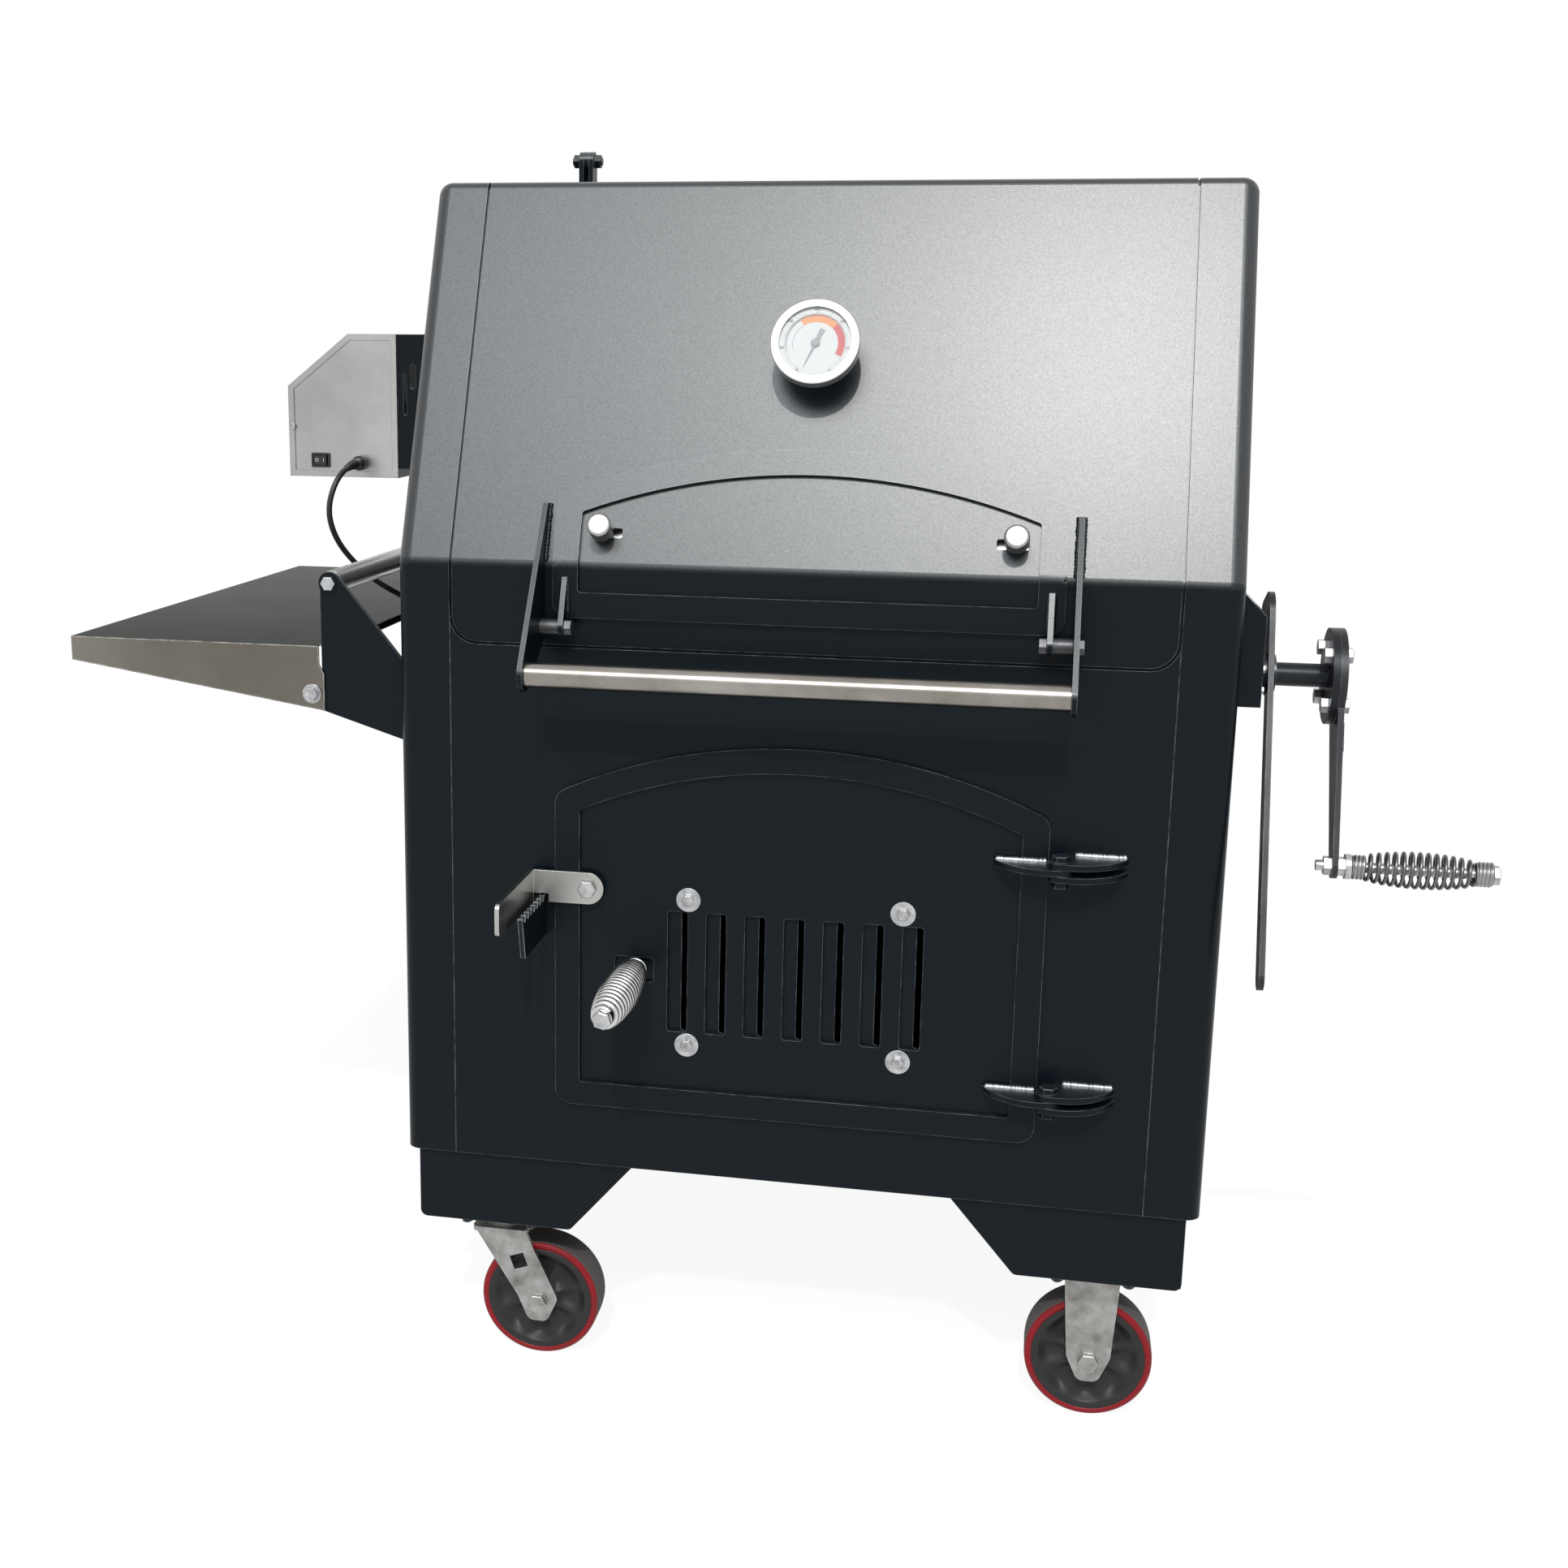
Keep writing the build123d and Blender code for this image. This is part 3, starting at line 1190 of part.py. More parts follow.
with BuildPart() as switch_frame:
    with BuildSketch(facing(cover_y)):
        with Locations((switch_x, switch_z)):
            RectangleRounded(switch_w, switch_h, 1)
    extrude(amount=switch_frame_t)
    with BuildSketch(facing(cover_y)):
        with Locations((switch_x, switch_z)):
            Rectangle(switch_w - 4, switch_h - 4)
    extrude(amount=-switch_body)
    with BuildSketch(facing(cover_y - switch_frame_t)):
        with Locations((switch_x, switch_z)):
            Rectangle(switch_w - 4.4, switch_h - 5)
    extrude(amount=-3 * switch_frame_t - 3, mode=Mode.SUBTRACT)
switch_frame.part.label = "switch_frame"
export_step(switch_frame.part, "parts/switch_frame.step")

rocker_half, rocker_tilt, rocker_pin_r = 9.2, 6.0, 1.0
rocker_y = cover_y + 3
with BuildPart() as rocker:
    rocker_plane = at(level(switch_z - (switch_h - 6) / 2), switch_x, rocker_y).rotated((0, 0, -rocker_tilt))
    with BuildSketch(rocker_plane):
        Polygon(
            (-rocker_half, -2), (-rocker_half, -6.5), (0, -4.6), (rocker_half, -6.5), (rocker_half, -2),
            (0, 3),
            align=None,
        )
        Circle(rocker_pin_r, mode=Mode.SUBTRACT)
    extrude(amount=switch_h - 6)
rocker.part.label = "rocker"
export_step(rocker.part, "parts/rocker.step")

with BuildPart() as cord_gland:
    with BuildSketch(at(facing(cover_y), gland_x, gland_z)):
        Circle(gland_r)
    extrude(amount=gland_nose / 2)
    with BuildSketch(at(facing(cover_y), gland_x, gland_z)):
        Circle(gland_body_r)
    extrude(amount=-motor_sheet * 2)
    with BuildSketch(at(facing(cover_y + motor_sheet), gland_x, gland_z)):
        RegularPolygon(gland_r + 1, 6, major_radius=False)
    extrude(amount=-4)
    with BuildSketch(at(facing(cover_y - gland_nose / 2), gland_x, gland_z)):
        Circle(gland_r - 2)
    extrude(amount=gland_nose / 2, taper=5)
cord_gland.part.label = "cord_gland"
export_step(cord_gland.part, "parts/cord_gland.step")

with BuildPart() as motor_bracket:
    with BuildSketch(facing(bracket_front + sheet)):
        Polygon(
            (-motor_right, motor_bottom + 12), (-motor_right, motor_top), (-half, motor_top),
            (-half, motor_bottom + 12),
            align=None,
        )
        with Locations((-motor_right + 10, (motor_bottom + motor_top) / 2 + 16)):
            SlotOverall(54, 4, rotation=90, mode=Mode.SUBTRACT)
        with Locations((-motor_right + 21, motor_top - 54)):
            SlotOverall(32, 7, rotation=90, mode=Mode.SUBTRACT)
    extrude(amount=sheet)
    for x, towards in ((-motor_right, 1), (-half, -1)):
        with BuildSketch(across(x)):
            with Locations(((bracket_front + motor_back_y) / 2, (motor_bottom + 12 + motor_top) / 2)):
                Rectangle(motor_back_y - bracket_front, motor_top - motor_bottom - 12)
            with Locations((spit_y, spit_z)):
                Circle(spit_journal_r + plate, mode=Mode.SUBTRACT)
        extrude(amount=towards * sheet)
motor_bracket.part.label = "motor_bracket"
export_step(motor_bracket.part, "parts/motor_bracket.step")

gearbox, gearbox_len, motor_r, motor_len = 70.0, 60.0, 28.0, 62.0
case_inner_x = -motor_right - motor_sheet
with BuildPart() as gear_motor:
    drive = at(across(case_inner_x), spit_y, spit_z)
    with BuildSketch(drive):
        RectangleRounded(gearbox, gearbox, 6)
    extrude(amount=-gearbox_len)
    with BuildSketch(drive.offset(-gearbox_len)):
        Circle(motor_r)
    extrude(amount=-motor_len)
    with BuildSketch(drive):
        Circle(spit_journal_r + pin_gap)
    extrude(amount=-gearbox_len + sheet, mode=Mode.SUBTRACT)
gear_motor.part.label = "gear_motor"
export_step(gear_motor.part, "parts/gear_motor.step")

# ------------------------------------------------------------------ cord, coil and plug
cord_r = cord_d / 2
cord_route = [
    (gland_x, cover_y - gland_nose, gland_z),
    (-630, 247, 1115),
    (-638, 222, 1094),
    (-646, 218, 1060),
    (-644, 237, 1024),
    (-632, 268, 990),
    (-608, 305, 956),
    (-576, 342, 930),
    (-552, 372, 888),
    (-541, 396, 836),
    (-536, 418, 768),
    (-534, 440, 690),
    (-535, 463, 606),
    (-537, 487, 516),
    (-539, 512, 426),
    (-540, 540, 338),
    (-541, 571, 254),
    (-541, 607, 178),
    (-539, 648, 114),
    (-535, 688, 68),
    (-532, 720, 36),
    (-530, 749, 14),
    (-531, 773, cord_r + 0.5),
]
coil_mid_r, coil_w, coil_h = 41.0, 15.0, 14.0
coil_out_r = coil_mid_r + coil_w / 2
coil_reach = sqrt(coil_out_r**2 - coil_mid_r**2)
coil_x, coil_y = cord_route[-1][0] - coil_mid_r, cord_route[-1][1] + coil_reach - 1
floor_gap = 0.5


def corner_radii(points):
    """Largest tangent arc for each corner: 0.45 of the shorter run over the tangent of half the turn."""
    radii = []
    for a, b, c in zip(points, points[1:], points[2:]):
        first, second = Vector(*b) - Vector(*a), Vector(*c) - Vector(*b)
        half_turn = radians(first.get_angle(second)) / 2
        radii.append(0.45 * min(first.length, second.length) / tan(half_turn))
    return radii


def shifted(points):
    return [(x + offset_x, y + offset_y, z) for x, y, z in points]


radii = corner_radii(cord_route)
print("cord bend radii:", [round(r) for r in radii])
with BuildPart() as cord:
    with BuildLine() as cord_path:
        FilletPolyline(*shifted(cord_route), radius=radii)
    start = Vector(*shifted(cord_route)[0])
    with BuildSketch(Plane(origin=start, z_dir=Vector(*shifted(cord_route)[1]) - start)):
        Circle(cord_r)
    sweep(path=cord_path.line)
cord_length = sum(edge.length for edge in cord_path.line.edges())
volume_ratio = cord.part.volume / (pi * cord_r**2 * cord_length)
print("cord length:", round(cord_length), "volume ratio:", round(volume_ratio, 4))
cord.part.label = "cord"
export_step(cord.part, "parts/cord.step")

with BuildPart() as cord_coil:
    coil_plane = at(facing(coil_y), coil_x, 0)
    with BuildSketch(coil_plane):
        with Locations((coil_mid_r, floor_gap + coil_h / 2)):
            RectangleRounded(coil_w, coil_h, cord_r)
    revolve(axis=Axis(coil_plane.origin, (0, 0, 1)))
cord_coil.part.label = "cord_coil"
export_step(cord_coil.part, "parts/cord_coil.step")

plug_w, plug_h, plug_len, blade_len = 24.0, 18.0, 28.0, 17.0
plug_z = floor_gap + plug_h / 2
nose_x = coil_x - coil_reach + 2
with BuildPart() as plug:
    nose_len = 20.0
    plug_plane = at(across(nose_x), coil_y + coil_mid_r, plug_z)
    with BuildSketch(plug_plane):
        Circle(cord_r + 1)
    with BuildSketch(plug_plane.offset(-nose_len)):
        Circle(plug_h / 2 - 2)
    loft()
    with BuildSketch(plug_plane.offset(-nose_len)):
        RectangleRounded(plug_w, plug_h, 5)
    extrude(amount=-plug_len)
    with BuildSketch(plug_plane.offset(-nose_len - plug_len)):
        with GridLocations(12.7, 0, 2, 1):
            Rectangle(1.5, 6.3)
        with Locations((0, -5.5)):
            Circle(2.4)
    extrude(amount=-blade_len)
plug.part.label = "plug"
export_step(plug.part, "parts/plug.step")

# ------------------------------------------------------------------ spit
bush_flange, bush_t = 9.0, 4.0
with BuildPart() as side_bushes:
    for y, z, hole, bore in (
        (spit_y, spit_z, spit_journal_r + plate, spit_journal_r + pin_gap),
        (crank_y, crank_z, shaft_r + sheet, shaft_r + pin_gap),
    ):
        with BuildSketch(at(across(half), y, z)):
            Circle(hole - hole_gap)
        extrude(amount=-sheet)
        with BuildSketch(at(across(half - sheet), y, z)):
            Circle(hole + bush_flange)
        extrude(amount=-bush_t)
        with BuildSketch(at(across(half), y, z)):
            Circle(bore)
        extrude(amount=-2 * sheet, mode=Mode.SUBTRACT)
    mirror(about=across(0))
side_bushes.part.label = "side_bushes"
export_step(side_bushes.part, "parts/side_bushes.step")

drive_end_x = case_inner_x - gearbox_len + 2 * sheet
with BuildPart() as spit_rod:
    spit_plane = at(across(0), spit_y, spit_z)
    with BuildSketch(spit_plane):
        RectangleRounded(spit_bar, spit_bar, 2)
    extrude(amount=spit_half, both=True)
    with BuildSketch(spit_plane.offset(-spit_half)):
        Circle(spit_journal_r)
    extrude(amount=drive_end_x + spit_half)
    with BuildSketch(spit_plane.offset(spit_half)):
        Circle(spit_journal_r)
    extrude(amount=spit_right_x - spit_half)
    chamfer(spit_rod.faces().sort_by(Axis.X)[-1].edges(), 2)
spit_rod.part.label = "spit_rod"
export_step(spit_rod.part, "parts/spit_rod.step")

clamp_half, clamp_len = 22.0, 24.0
with BuildPart() as spit_forks:
    for side in (-1, 1):
        clamp_plane = at(across(side * spit_fork_x), spit_y, spit_z)
        with BuildSketch(clamp_plane):
            RectangleRounded(2 * clamp_half, 2 * clamp_half, 3)
            Rectangle(spit_bar + 2 * hole_gap, spit_bar + 2 * hole_gap, mode=Mode.SUBTRACT)
        extrude(amount=clamp_len / 2, both=True)
        with BuildSketch(clamp_plane):
            for prong in (-1, 1):
                with Locations((0, prong * (prong_spread + clamp_half) / 2)):
                    Rectangle(10, prong_spread - clamp_half + 10)
        extrude(amount=5, both=True)
        for prong in (-1, 1):
            with BuildSketch(at(clamp_plane, 0, prong * prong_spread)):
                Circle(prong_r)
            extrude(amount=-side * (prong_len - 20))
            with BuildSketch(at(clamp_plane, 0, prong * prong_spread).offset(-side * (prong_len - 20))):
                Circle(prong_r)
            extrude(amount=-side * 20, taper=12)
        with BuildSketch(at(level(spit_z), side * spit_fork_x, spit_y)):
            Circle(4)
        extrude(amount=clamp_half + 26)
        with BuildSketch(clamp_plane):
            Rectangle(spit_bar + 2 * hole_gap, spit_bar + 2 * hole_gap)
        extrude(amount=clamp_len, both=True, mode=Mode.SUBTRACT)
        with BuildSketch(at(level(spit_z + clamp_half + 14), side * spit_fork_x, spit_y)):
            Rectangle(28, 4)
        extrude(amount=12)
spit_forks.part.label = "spit_forks"
export_step(spit_forks.part, "parts/spit_forks.step")

# ------------------------------------------------------------------ charcoal lift
housing_x = half + housing_out
collar_r, keeper_ring_r = 17.0, 22.0
with BuildPart() as shaft_housing:
    for inset in (0, sheet):
        with BuildSketch(facing(housing_back - inset)):
            Polygon(
                (half, housing_bottom + inset), (half, housing_top - 0.8 * inset),
                (housing_x - inset, housing_top - housing_out - 0.8 * inset),
                (housing_x - inset, housing_bottom + inset),
                align=None,
            )
        extrude(
            amount=housing_back - housing_front - 2 * inset,
            mode=Mode.SUBTRACT if inset else Mode.ADD,
        )
    shaft_plane = at(across(half), crank_y, crank_z)
    with BuildSketch(shaft_plane):
        Circle(keeper_ring_r)
    extrude(amount=lever_x - turn_gap - half)
    with BuildSketch(shaft_plane):
        Circle(collar_r)
    extrude(amount=lever_x + lever_t + 2 * turn_gap + 3 - half)
    with BuildSketch(at(across(lever_x + lever_t + turn_gap), crank_y, crank_z)):
        Circle(keeper_ring_r)
    extrude(amount=3)
    with BuildSketch(shaft_plane):
        Circle(shaft_r + pin_gap)
    extrude(amount=3 * housing_out, mode=Mode.SUBTRACT)
shaft_housing.part.label = "shaft_housing"
export_step(shaft_housing.part, "parts/shaft_housing.step")

tooth_step = 360 / pinion_teeth
with BuildPart() as lift_shaft:
    centre = at(across(0), crank_y, crank_z)
    with BuildSketch(centre.offset(-half + 2)):
        Circle(shaft_r)
    extrude(amount=flange_x + flange_t + half - 2)
    with BuildSketch(centre.offset(flange_x)):
        Circle(flange_r)
        Circle(shaft_r + hole_gap, mode=Mode.SUBTRACT)
        with PolarLocations(flange_pcd / 2, 4, start_angle=45):
            Circle(bolt_r + hole_gap, mode=Mode.SUBTRACT)
    extrude(amount=flange_t)
    for side in (-1, 1):
        with BuildSketch(centre.offset(side * rack_x - pinion_w / 2)):
            Circle(pinion_pitch_r - tooth_h / 2)
            with PolarLocations(pinion_pitch_r - tooth_h / 2, pinion_teeth, start_angle=tooth_step / 2):
                Polygon(
                    (-1, -tooth_root_w / 2), (0, -tooth_root_w / 2), (tooth_h, -tooth_tip_w / 2),
                    (tooth_h, tooth_tip_w / 2), (0, tooth_root_w / 2), (-1, tooth_root_w / 2),
                    align=None,
                )
            Circle(shaft_r + hole_gap, mode=Mode.SUBTRACT)
        extrude(amount=pinion_w)
    with BuildSketch(centre.offset(-half)):
        Circle(shaft_r - shaft_wall)
    extrude(amount=half + flange_x + flange_t, mode=Mode.SUBTRACT)
lift_shaft.part.label = "lift_shaft"
export_step(lift_shaft.part, "parts/lift_shaft.step")

lean = radians(arm_lean)
down = (-sin(lean), -cos(lean))
side_way = (-down[1], down[0])
grip_y, grip_z = crank_y + arm_len * down[0], crank_z + arm_len * down[1]


def along_arm(reach, aside):
    return (
        crank_y + reach * down[0] + aside * side_way[0],
        crank_z + reach * down[1] + aside * side_way[1],
    )


arm_face = flange_x + flange_t + 1
with BuildPart() as crank_arm:
    with BuildSketch(at(across(flange_x + flange_t), crank_y, crank_z)):
        Circle(flange_r)
        with PolarLocations(flange_pcd / 2, 4, start_angle=45):
            Circle(bolt_r + hole_gap, mode=Mode.SUBTRACT)
    extrude(amount=flange_t)
    with BuildSketch(across(arm_face)):
        Polygon(
            along_arm(flange_r - 12, -arm_root_w / 2), along_arm(flange_r - 12, arm_root_w / 2),
            along_arm(arm_len, arm_tip_w / 2), along_arm(arm_len, -arm_tip_w / 2),
            align=None,
        )
        with Locations((grip_y, grip_z)):
            Circle(arm_tip_w / 2)
            Circle(plate + hole_gap, mode=Mode.SUBTRACT)
    extrude(amount=arm_t)
    with BuildSketch(across(arm_face + arm_t)):
        Polygon(
            along_arm(flange_r + 2, -14), along_arm(flange_r + 2, 14), along_arm(flange_r + 34, 12),
            along_arm(flange_r + 34, -12),
            align=None,
        )
    extrude(amount=3)
crank_arm.part.label = "crank_arm"
export_step(crank_arm.part, "parts/crank_arm.step")

with BuildPart() as crank_bolts:
    face_x = flange_x + 2 * flange_t
    for k in range(4):
        angle = radians(45 + 90 * k)
        y, z = crank_y + flange_pcd / 2 * cos(angle), crank_z + flange_pcd / 2 * sin(angle)
        add(hex_bolt(at(across(face_x), y, z), bolt_r, 3 * flange_t, nut_at=2 * flange_t))
    grip_head = at(across(grip_tip), grip_y, grip_z)
    add(hex_bolt(grip_head, plate, grip_tip - arm_face + 2 * flange_t, 19.0))
    for x, length in ((arm_face - nut_h, nut_h), (arm_face + arm_t, nut_h)):
        with BuildSketch(at(across(x), grip_y, grip_z)):
            RegularPolygon(9.5, 6, major_radius=False)
        extrude(amount=length)
    washer_x = arm_face + arm_t + nut_h
    with BuildSketch(at(across(washer_x), grip_y, grip_z)):
        Circle(14)
    extrude(amount=grip_start - washer_x - turn_gap)
crank_bolts.part.label = "crank_bolts"
export_step(crank_bolts.part, "parts/crank_bolts.step")

with BuildPart() as crank_grip:
    grip_plane = at(across(grip_start), grip_y, grip_z)
    grip_len = grip_tip - turn_gap - grip_start
    with BuildSketch(grip_plane):
        Circle(13)
    extrude(amount=grip_coil - grip_start)
    with BuildSketch(grip_plane.offset(grip_end - grip_start)):
        Circle(13)
    extrude(amount=grip_len - grip_end + grip_start)
    add(barrel_coil(grip_plane, grip_coil - grip_start - 1, grip_end - grip_coil + 2, 9, 13, 21, 15))
    with BuildSketch(grip_plane):
        Circle(plate + pin_gap)
    extrude(amount=grip_len, mode=Mode.SUBTRACT)
crank_grip.part.label = "crank_grip"
export_step(crank_grip.part, "parts/crank_grip.step")

with BuildPart() as lock_lever:
    lever_plane = Plane(
        origin=(offset_x + lever_x, offset_y + crank_y, crank_z),
        x_dir=(0, cos(slope), -sin(slope)), z_dir=(1, 0, 0),
    )
    with BuildSketch(lever_plane):
        with Locations((lever_head_w / 2 - lever_bar, lever_rise)):
            RectangleRounded(lever_head_w, lever_head_h, lever_head_r)
        with Locations((-lever_bar / 2, (lever_rise + lever_bar / 2 - lever_tail) / 2)):
            Rectangle(lever_bar, lever_tail + lever_rise - lever_bar / 2)
        with Locations((-lever_bar / 2, -lever_tail + lever_bar / 2)):
            Circle(lever_bar / 2)
        Circle(lever_hub_r + hole_gap, mode=Mode.SUBTRACT)
    extrude(amount=lever_t)
    with BuildSketch(lever_plane):
        Circle(lever_hub_r)
        Circle(collar_r + pin_gap, mode=Mode.SUBTRACT)
    extrude(amount=lever_t)
lock_lever.part.label = "lock_lever"
export_step(lock_lever.part, "parts/lock_lever.step")

tray_mid = (tray_front + tray_back) / 2
rack_root = crank_y + pinion_pitch_r + tooth_h / 2 + mesh_gap
with BuildPart() as charcoal_tray:
    with BuildSketch(level(tray_z)):
        with Locations((0, tray_mid)):
            Rectangle(2 * tray_half, tray_back - tray_front)
    extrude(amount=tray_wall_h)
    with BuildSketch(level(tray_z + tray_sheet)):
        with Locations((0, tray_mid)):
            Rectangle(2 * (tray_half - tray_sheet), tray_back - tray_front - 2 * tray_sheet)
    extrude(amount=tray_wall_h, mode=Mode.SUBTRACT)
    for side in (-1, 1):
        with BuildSketch(across(side * rack_x - pinion_w / 2)):
            with Locations((rack_root + rack_t / 2, (rack_bottom + rack_top) / 2)):
                Rectangle(rack_t, rack_top - rack_bottom)
            pitch = 2 * pi * pinion_pitch_r / pinion_teeth
            for k in range(-int((crank_z - rack_bottom) / pitch) + 12, int((rack_top - crank_z) / pitch)):
                z = crank_z + k * pitch
                with Locations((rack_root, z)):
                    Polygon(
                        (1, -tooth_root_w / 2), (1, tooth_root_w / 2), (0, tooth_root_w / 2),
                        (-tooth_h, tooth_tip_w / 2), (-tooth_h, -tooth_tip_w / 2), (0, -tooth_root_w / 2),
                        align=None,
                    )
            with Locations(((rack_root + rack_t + tray_front) / 2, tray_z + tray_wall_h / 2)):
                Rectangle(tray_front - rack_root - rack_t, tray_wall_h)
        extrude(amount=pinion_w)
charcoal_tray.part.label = "charcoal_tray"
export_step(charcoal_tray.part, "parts/charcoal_tray.step")

# ------------------------------------------------------------------ fasteners on the body
def end_bolts(stack):
    """The rail's end bolt and the shelf's pivot bolt at the front bracket."""
    with BuildPart() as bolts:
        add(hex_bolt(at(facing(bracket_ys[0]), -rail_x, rail_z), bolt_r, 2 * rail_r))
        shelf_head = at(facing(shelf_front_y - 2), -shelf_pivot_x, shelf_pivot_z)
        add(hex_bolt(shelf_head, bolt_r, stack + nut_h, nut_at=stack))
        with BuildSketch(shelf_head):
            Circle(washer_r)
        extrude(amount=-washer_t)
    return bolts.part


with BuildPart() as cabinet_fasteners:
    for x in (swivel_x, rigid_x):
        for y in caster_ys:
            for dx in (-plate_holes[0] / 2, plate_holes[0] / 2):
                for dy in (-plate_holes[1] / 2, plate_holes[1] / 2):
                    stack = plate + caster_plate_t
                    top = at(level(caster_top + plate), x + dx, y + dy)
                    add(hex_bolt(top, guide_bolt_r, stack + nut_h + 2, 13.0, nut_at=stack))
    shelf_stack = bracket_ys[0] + plate - shelf_front_y + 2
    add(end_bolts(shelf_stack))
    add(mirror(end_bolts(shelf_stack), about=Plane.XZ.offset(-(offset_y + shelf_mid_y))))
    with BuildSketch(at(facing(motor_front_y), screw_x, screw_z)):
        Circle(2.2 * screw_r)
    extrude(amount=1.5 * screw_r)
    with BuildSketch(at(facing(motor_front_y), screw_x, screw_z)):
        Circle(screw_r)
    extrude(amount=-sheet)
    for z in housing_bolt_zs:
        with BuildSketch(at(across(housing_x), housing_front + housing_bolt_in, z)):
            RegularPolygon(guide_bolt_r, 6, major_radius=False)
        extrude(amount=housing_bolt_h)
cabinet_fasteners.part.label = "cabinet_fasteners"
export_step(cabinet_fasteners.part, "parts/cabinet_fasteners.step")
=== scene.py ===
"""Looks of a rotisserie spit roaster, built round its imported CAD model.

Every CAD node gets its finish. The wound springs, weld beads, bare teeth, dial marks, wheels, switch marks
and mains cord, which the CAD leaves plain, are made here. Run as a script it registers itself, builds every
piece and finishes the frame."""

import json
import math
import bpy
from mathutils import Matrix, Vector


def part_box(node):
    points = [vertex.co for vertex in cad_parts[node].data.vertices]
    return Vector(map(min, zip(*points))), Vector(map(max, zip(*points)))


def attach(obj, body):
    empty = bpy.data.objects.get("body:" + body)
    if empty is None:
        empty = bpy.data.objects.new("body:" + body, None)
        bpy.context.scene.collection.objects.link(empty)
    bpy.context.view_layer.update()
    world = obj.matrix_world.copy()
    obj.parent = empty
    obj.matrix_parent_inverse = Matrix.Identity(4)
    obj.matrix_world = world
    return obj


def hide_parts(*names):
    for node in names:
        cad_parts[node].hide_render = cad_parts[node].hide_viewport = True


bl_info = {
    "name": "Rotisserie roaster looks",
    "version": (1, 0, 0),
    "blender": (4, 5, 0),
    "location": "View3D > Sidebar > Roaster",
    "description": "Builds the finishes and the fine pieces of a rotisserie spit roaster",
    "category": "Object",
}

import bpy
from mathutils import Matrix, Vector

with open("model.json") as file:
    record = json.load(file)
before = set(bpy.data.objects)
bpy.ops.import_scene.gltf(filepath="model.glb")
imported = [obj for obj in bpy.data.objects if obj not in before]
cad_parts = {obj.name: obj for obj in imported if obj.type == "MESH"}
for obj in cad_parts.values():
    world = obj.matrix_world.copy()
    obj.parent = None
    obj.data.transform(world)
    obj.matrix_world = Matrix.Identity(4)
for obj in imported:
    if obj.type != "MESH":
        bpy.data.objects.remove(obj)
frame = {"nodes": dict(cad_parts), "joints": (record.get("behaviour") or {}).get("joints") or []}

MM = 0.001
NODES = frame["nodes"]
RIGHT = Vector((1, 0, 0))
FRONT = Vector((0, -1, 0))


# ---------------------------------------------------------------- places taken from the frame
def datum():
    """The floor below the middle of the cabinet's front face, from which the CAD gives its lengths."""
    left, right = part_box("left_side"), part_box("right_side")
    return Vector(((left[0].x + right[1].x) / 2, left[0].y, 0))


DATUM = datum()


def at(x, y, z):
    """A place given in millimetres from the datum, in the row frame's metres."""
    return DATUM + Vector((x, y, z)) * MM


def centre(node):
    low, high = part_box(node)
    return (low + high) / 2


def joint_place(name):
    return Vector(next(j["pos_m"] for j in frame["joints"] if j["name"] == name))


CREASE_HEIGHT, ROOF_HEIGHT, ROOF_SETBACK = 1026, 1465, 182
SLOPE = math.atan2(ROOF_SETBACK, ROOF_HEIGHT - CREASE_HEIGHT)
UP_SLOPE = Vector((0, math.sin(SLOPE), math.cos(SLOPE)))
OFF_SLOPE = Vector((0, -math.cos(SLOPE), math.sin(SLOPE)))


def on_slope(x, s, out=0.0):
    """A place on the lid's slanted face: across, up from the crease, and out from it, in millimetres."""
    return at(x, 0, CREASE_HEIGHT) + (UP_SLOPE * s + OFF_SLOPE * out) * MM


# ---------------------------------------------------------------- settings
class RoasterSizes(bpy.types.PropertyGroup):
    wire: bpy.props.FloatProperty(
        name="Spring wire", description="Radius of the grips' spring wire", default=0.0021, unit="LENGTH"
    )
    bead: bpy.props.FloatProperty(
        name="Weld bead", description="Radius of a weld bead", default=0.0028, unit="LENGTH"
    )
    ripple: bpy.props.FloatProperty(
        name="Weld ripple", description="Distance between a weld bead's ripples", default=0.0042,
        unit="LENGTH",
    )
    cord: bpy.props.FloatProperty(
        name="Cord", description="Diameter of the mains cord", default=0.0075, unit="LENGTH"
    )
    relief: bpy.props.FloatProperty(
        name="Strain relief", description="Length of the cord's tapered sleeve", default=0.028,
        unit="LENGTH",
    )
    edge: bpy.props.FloatProperty(
        name="Edge rounding", description="Radius of the light catching on plate edges", default=0.0009,
        unit="LENGTH",
    )


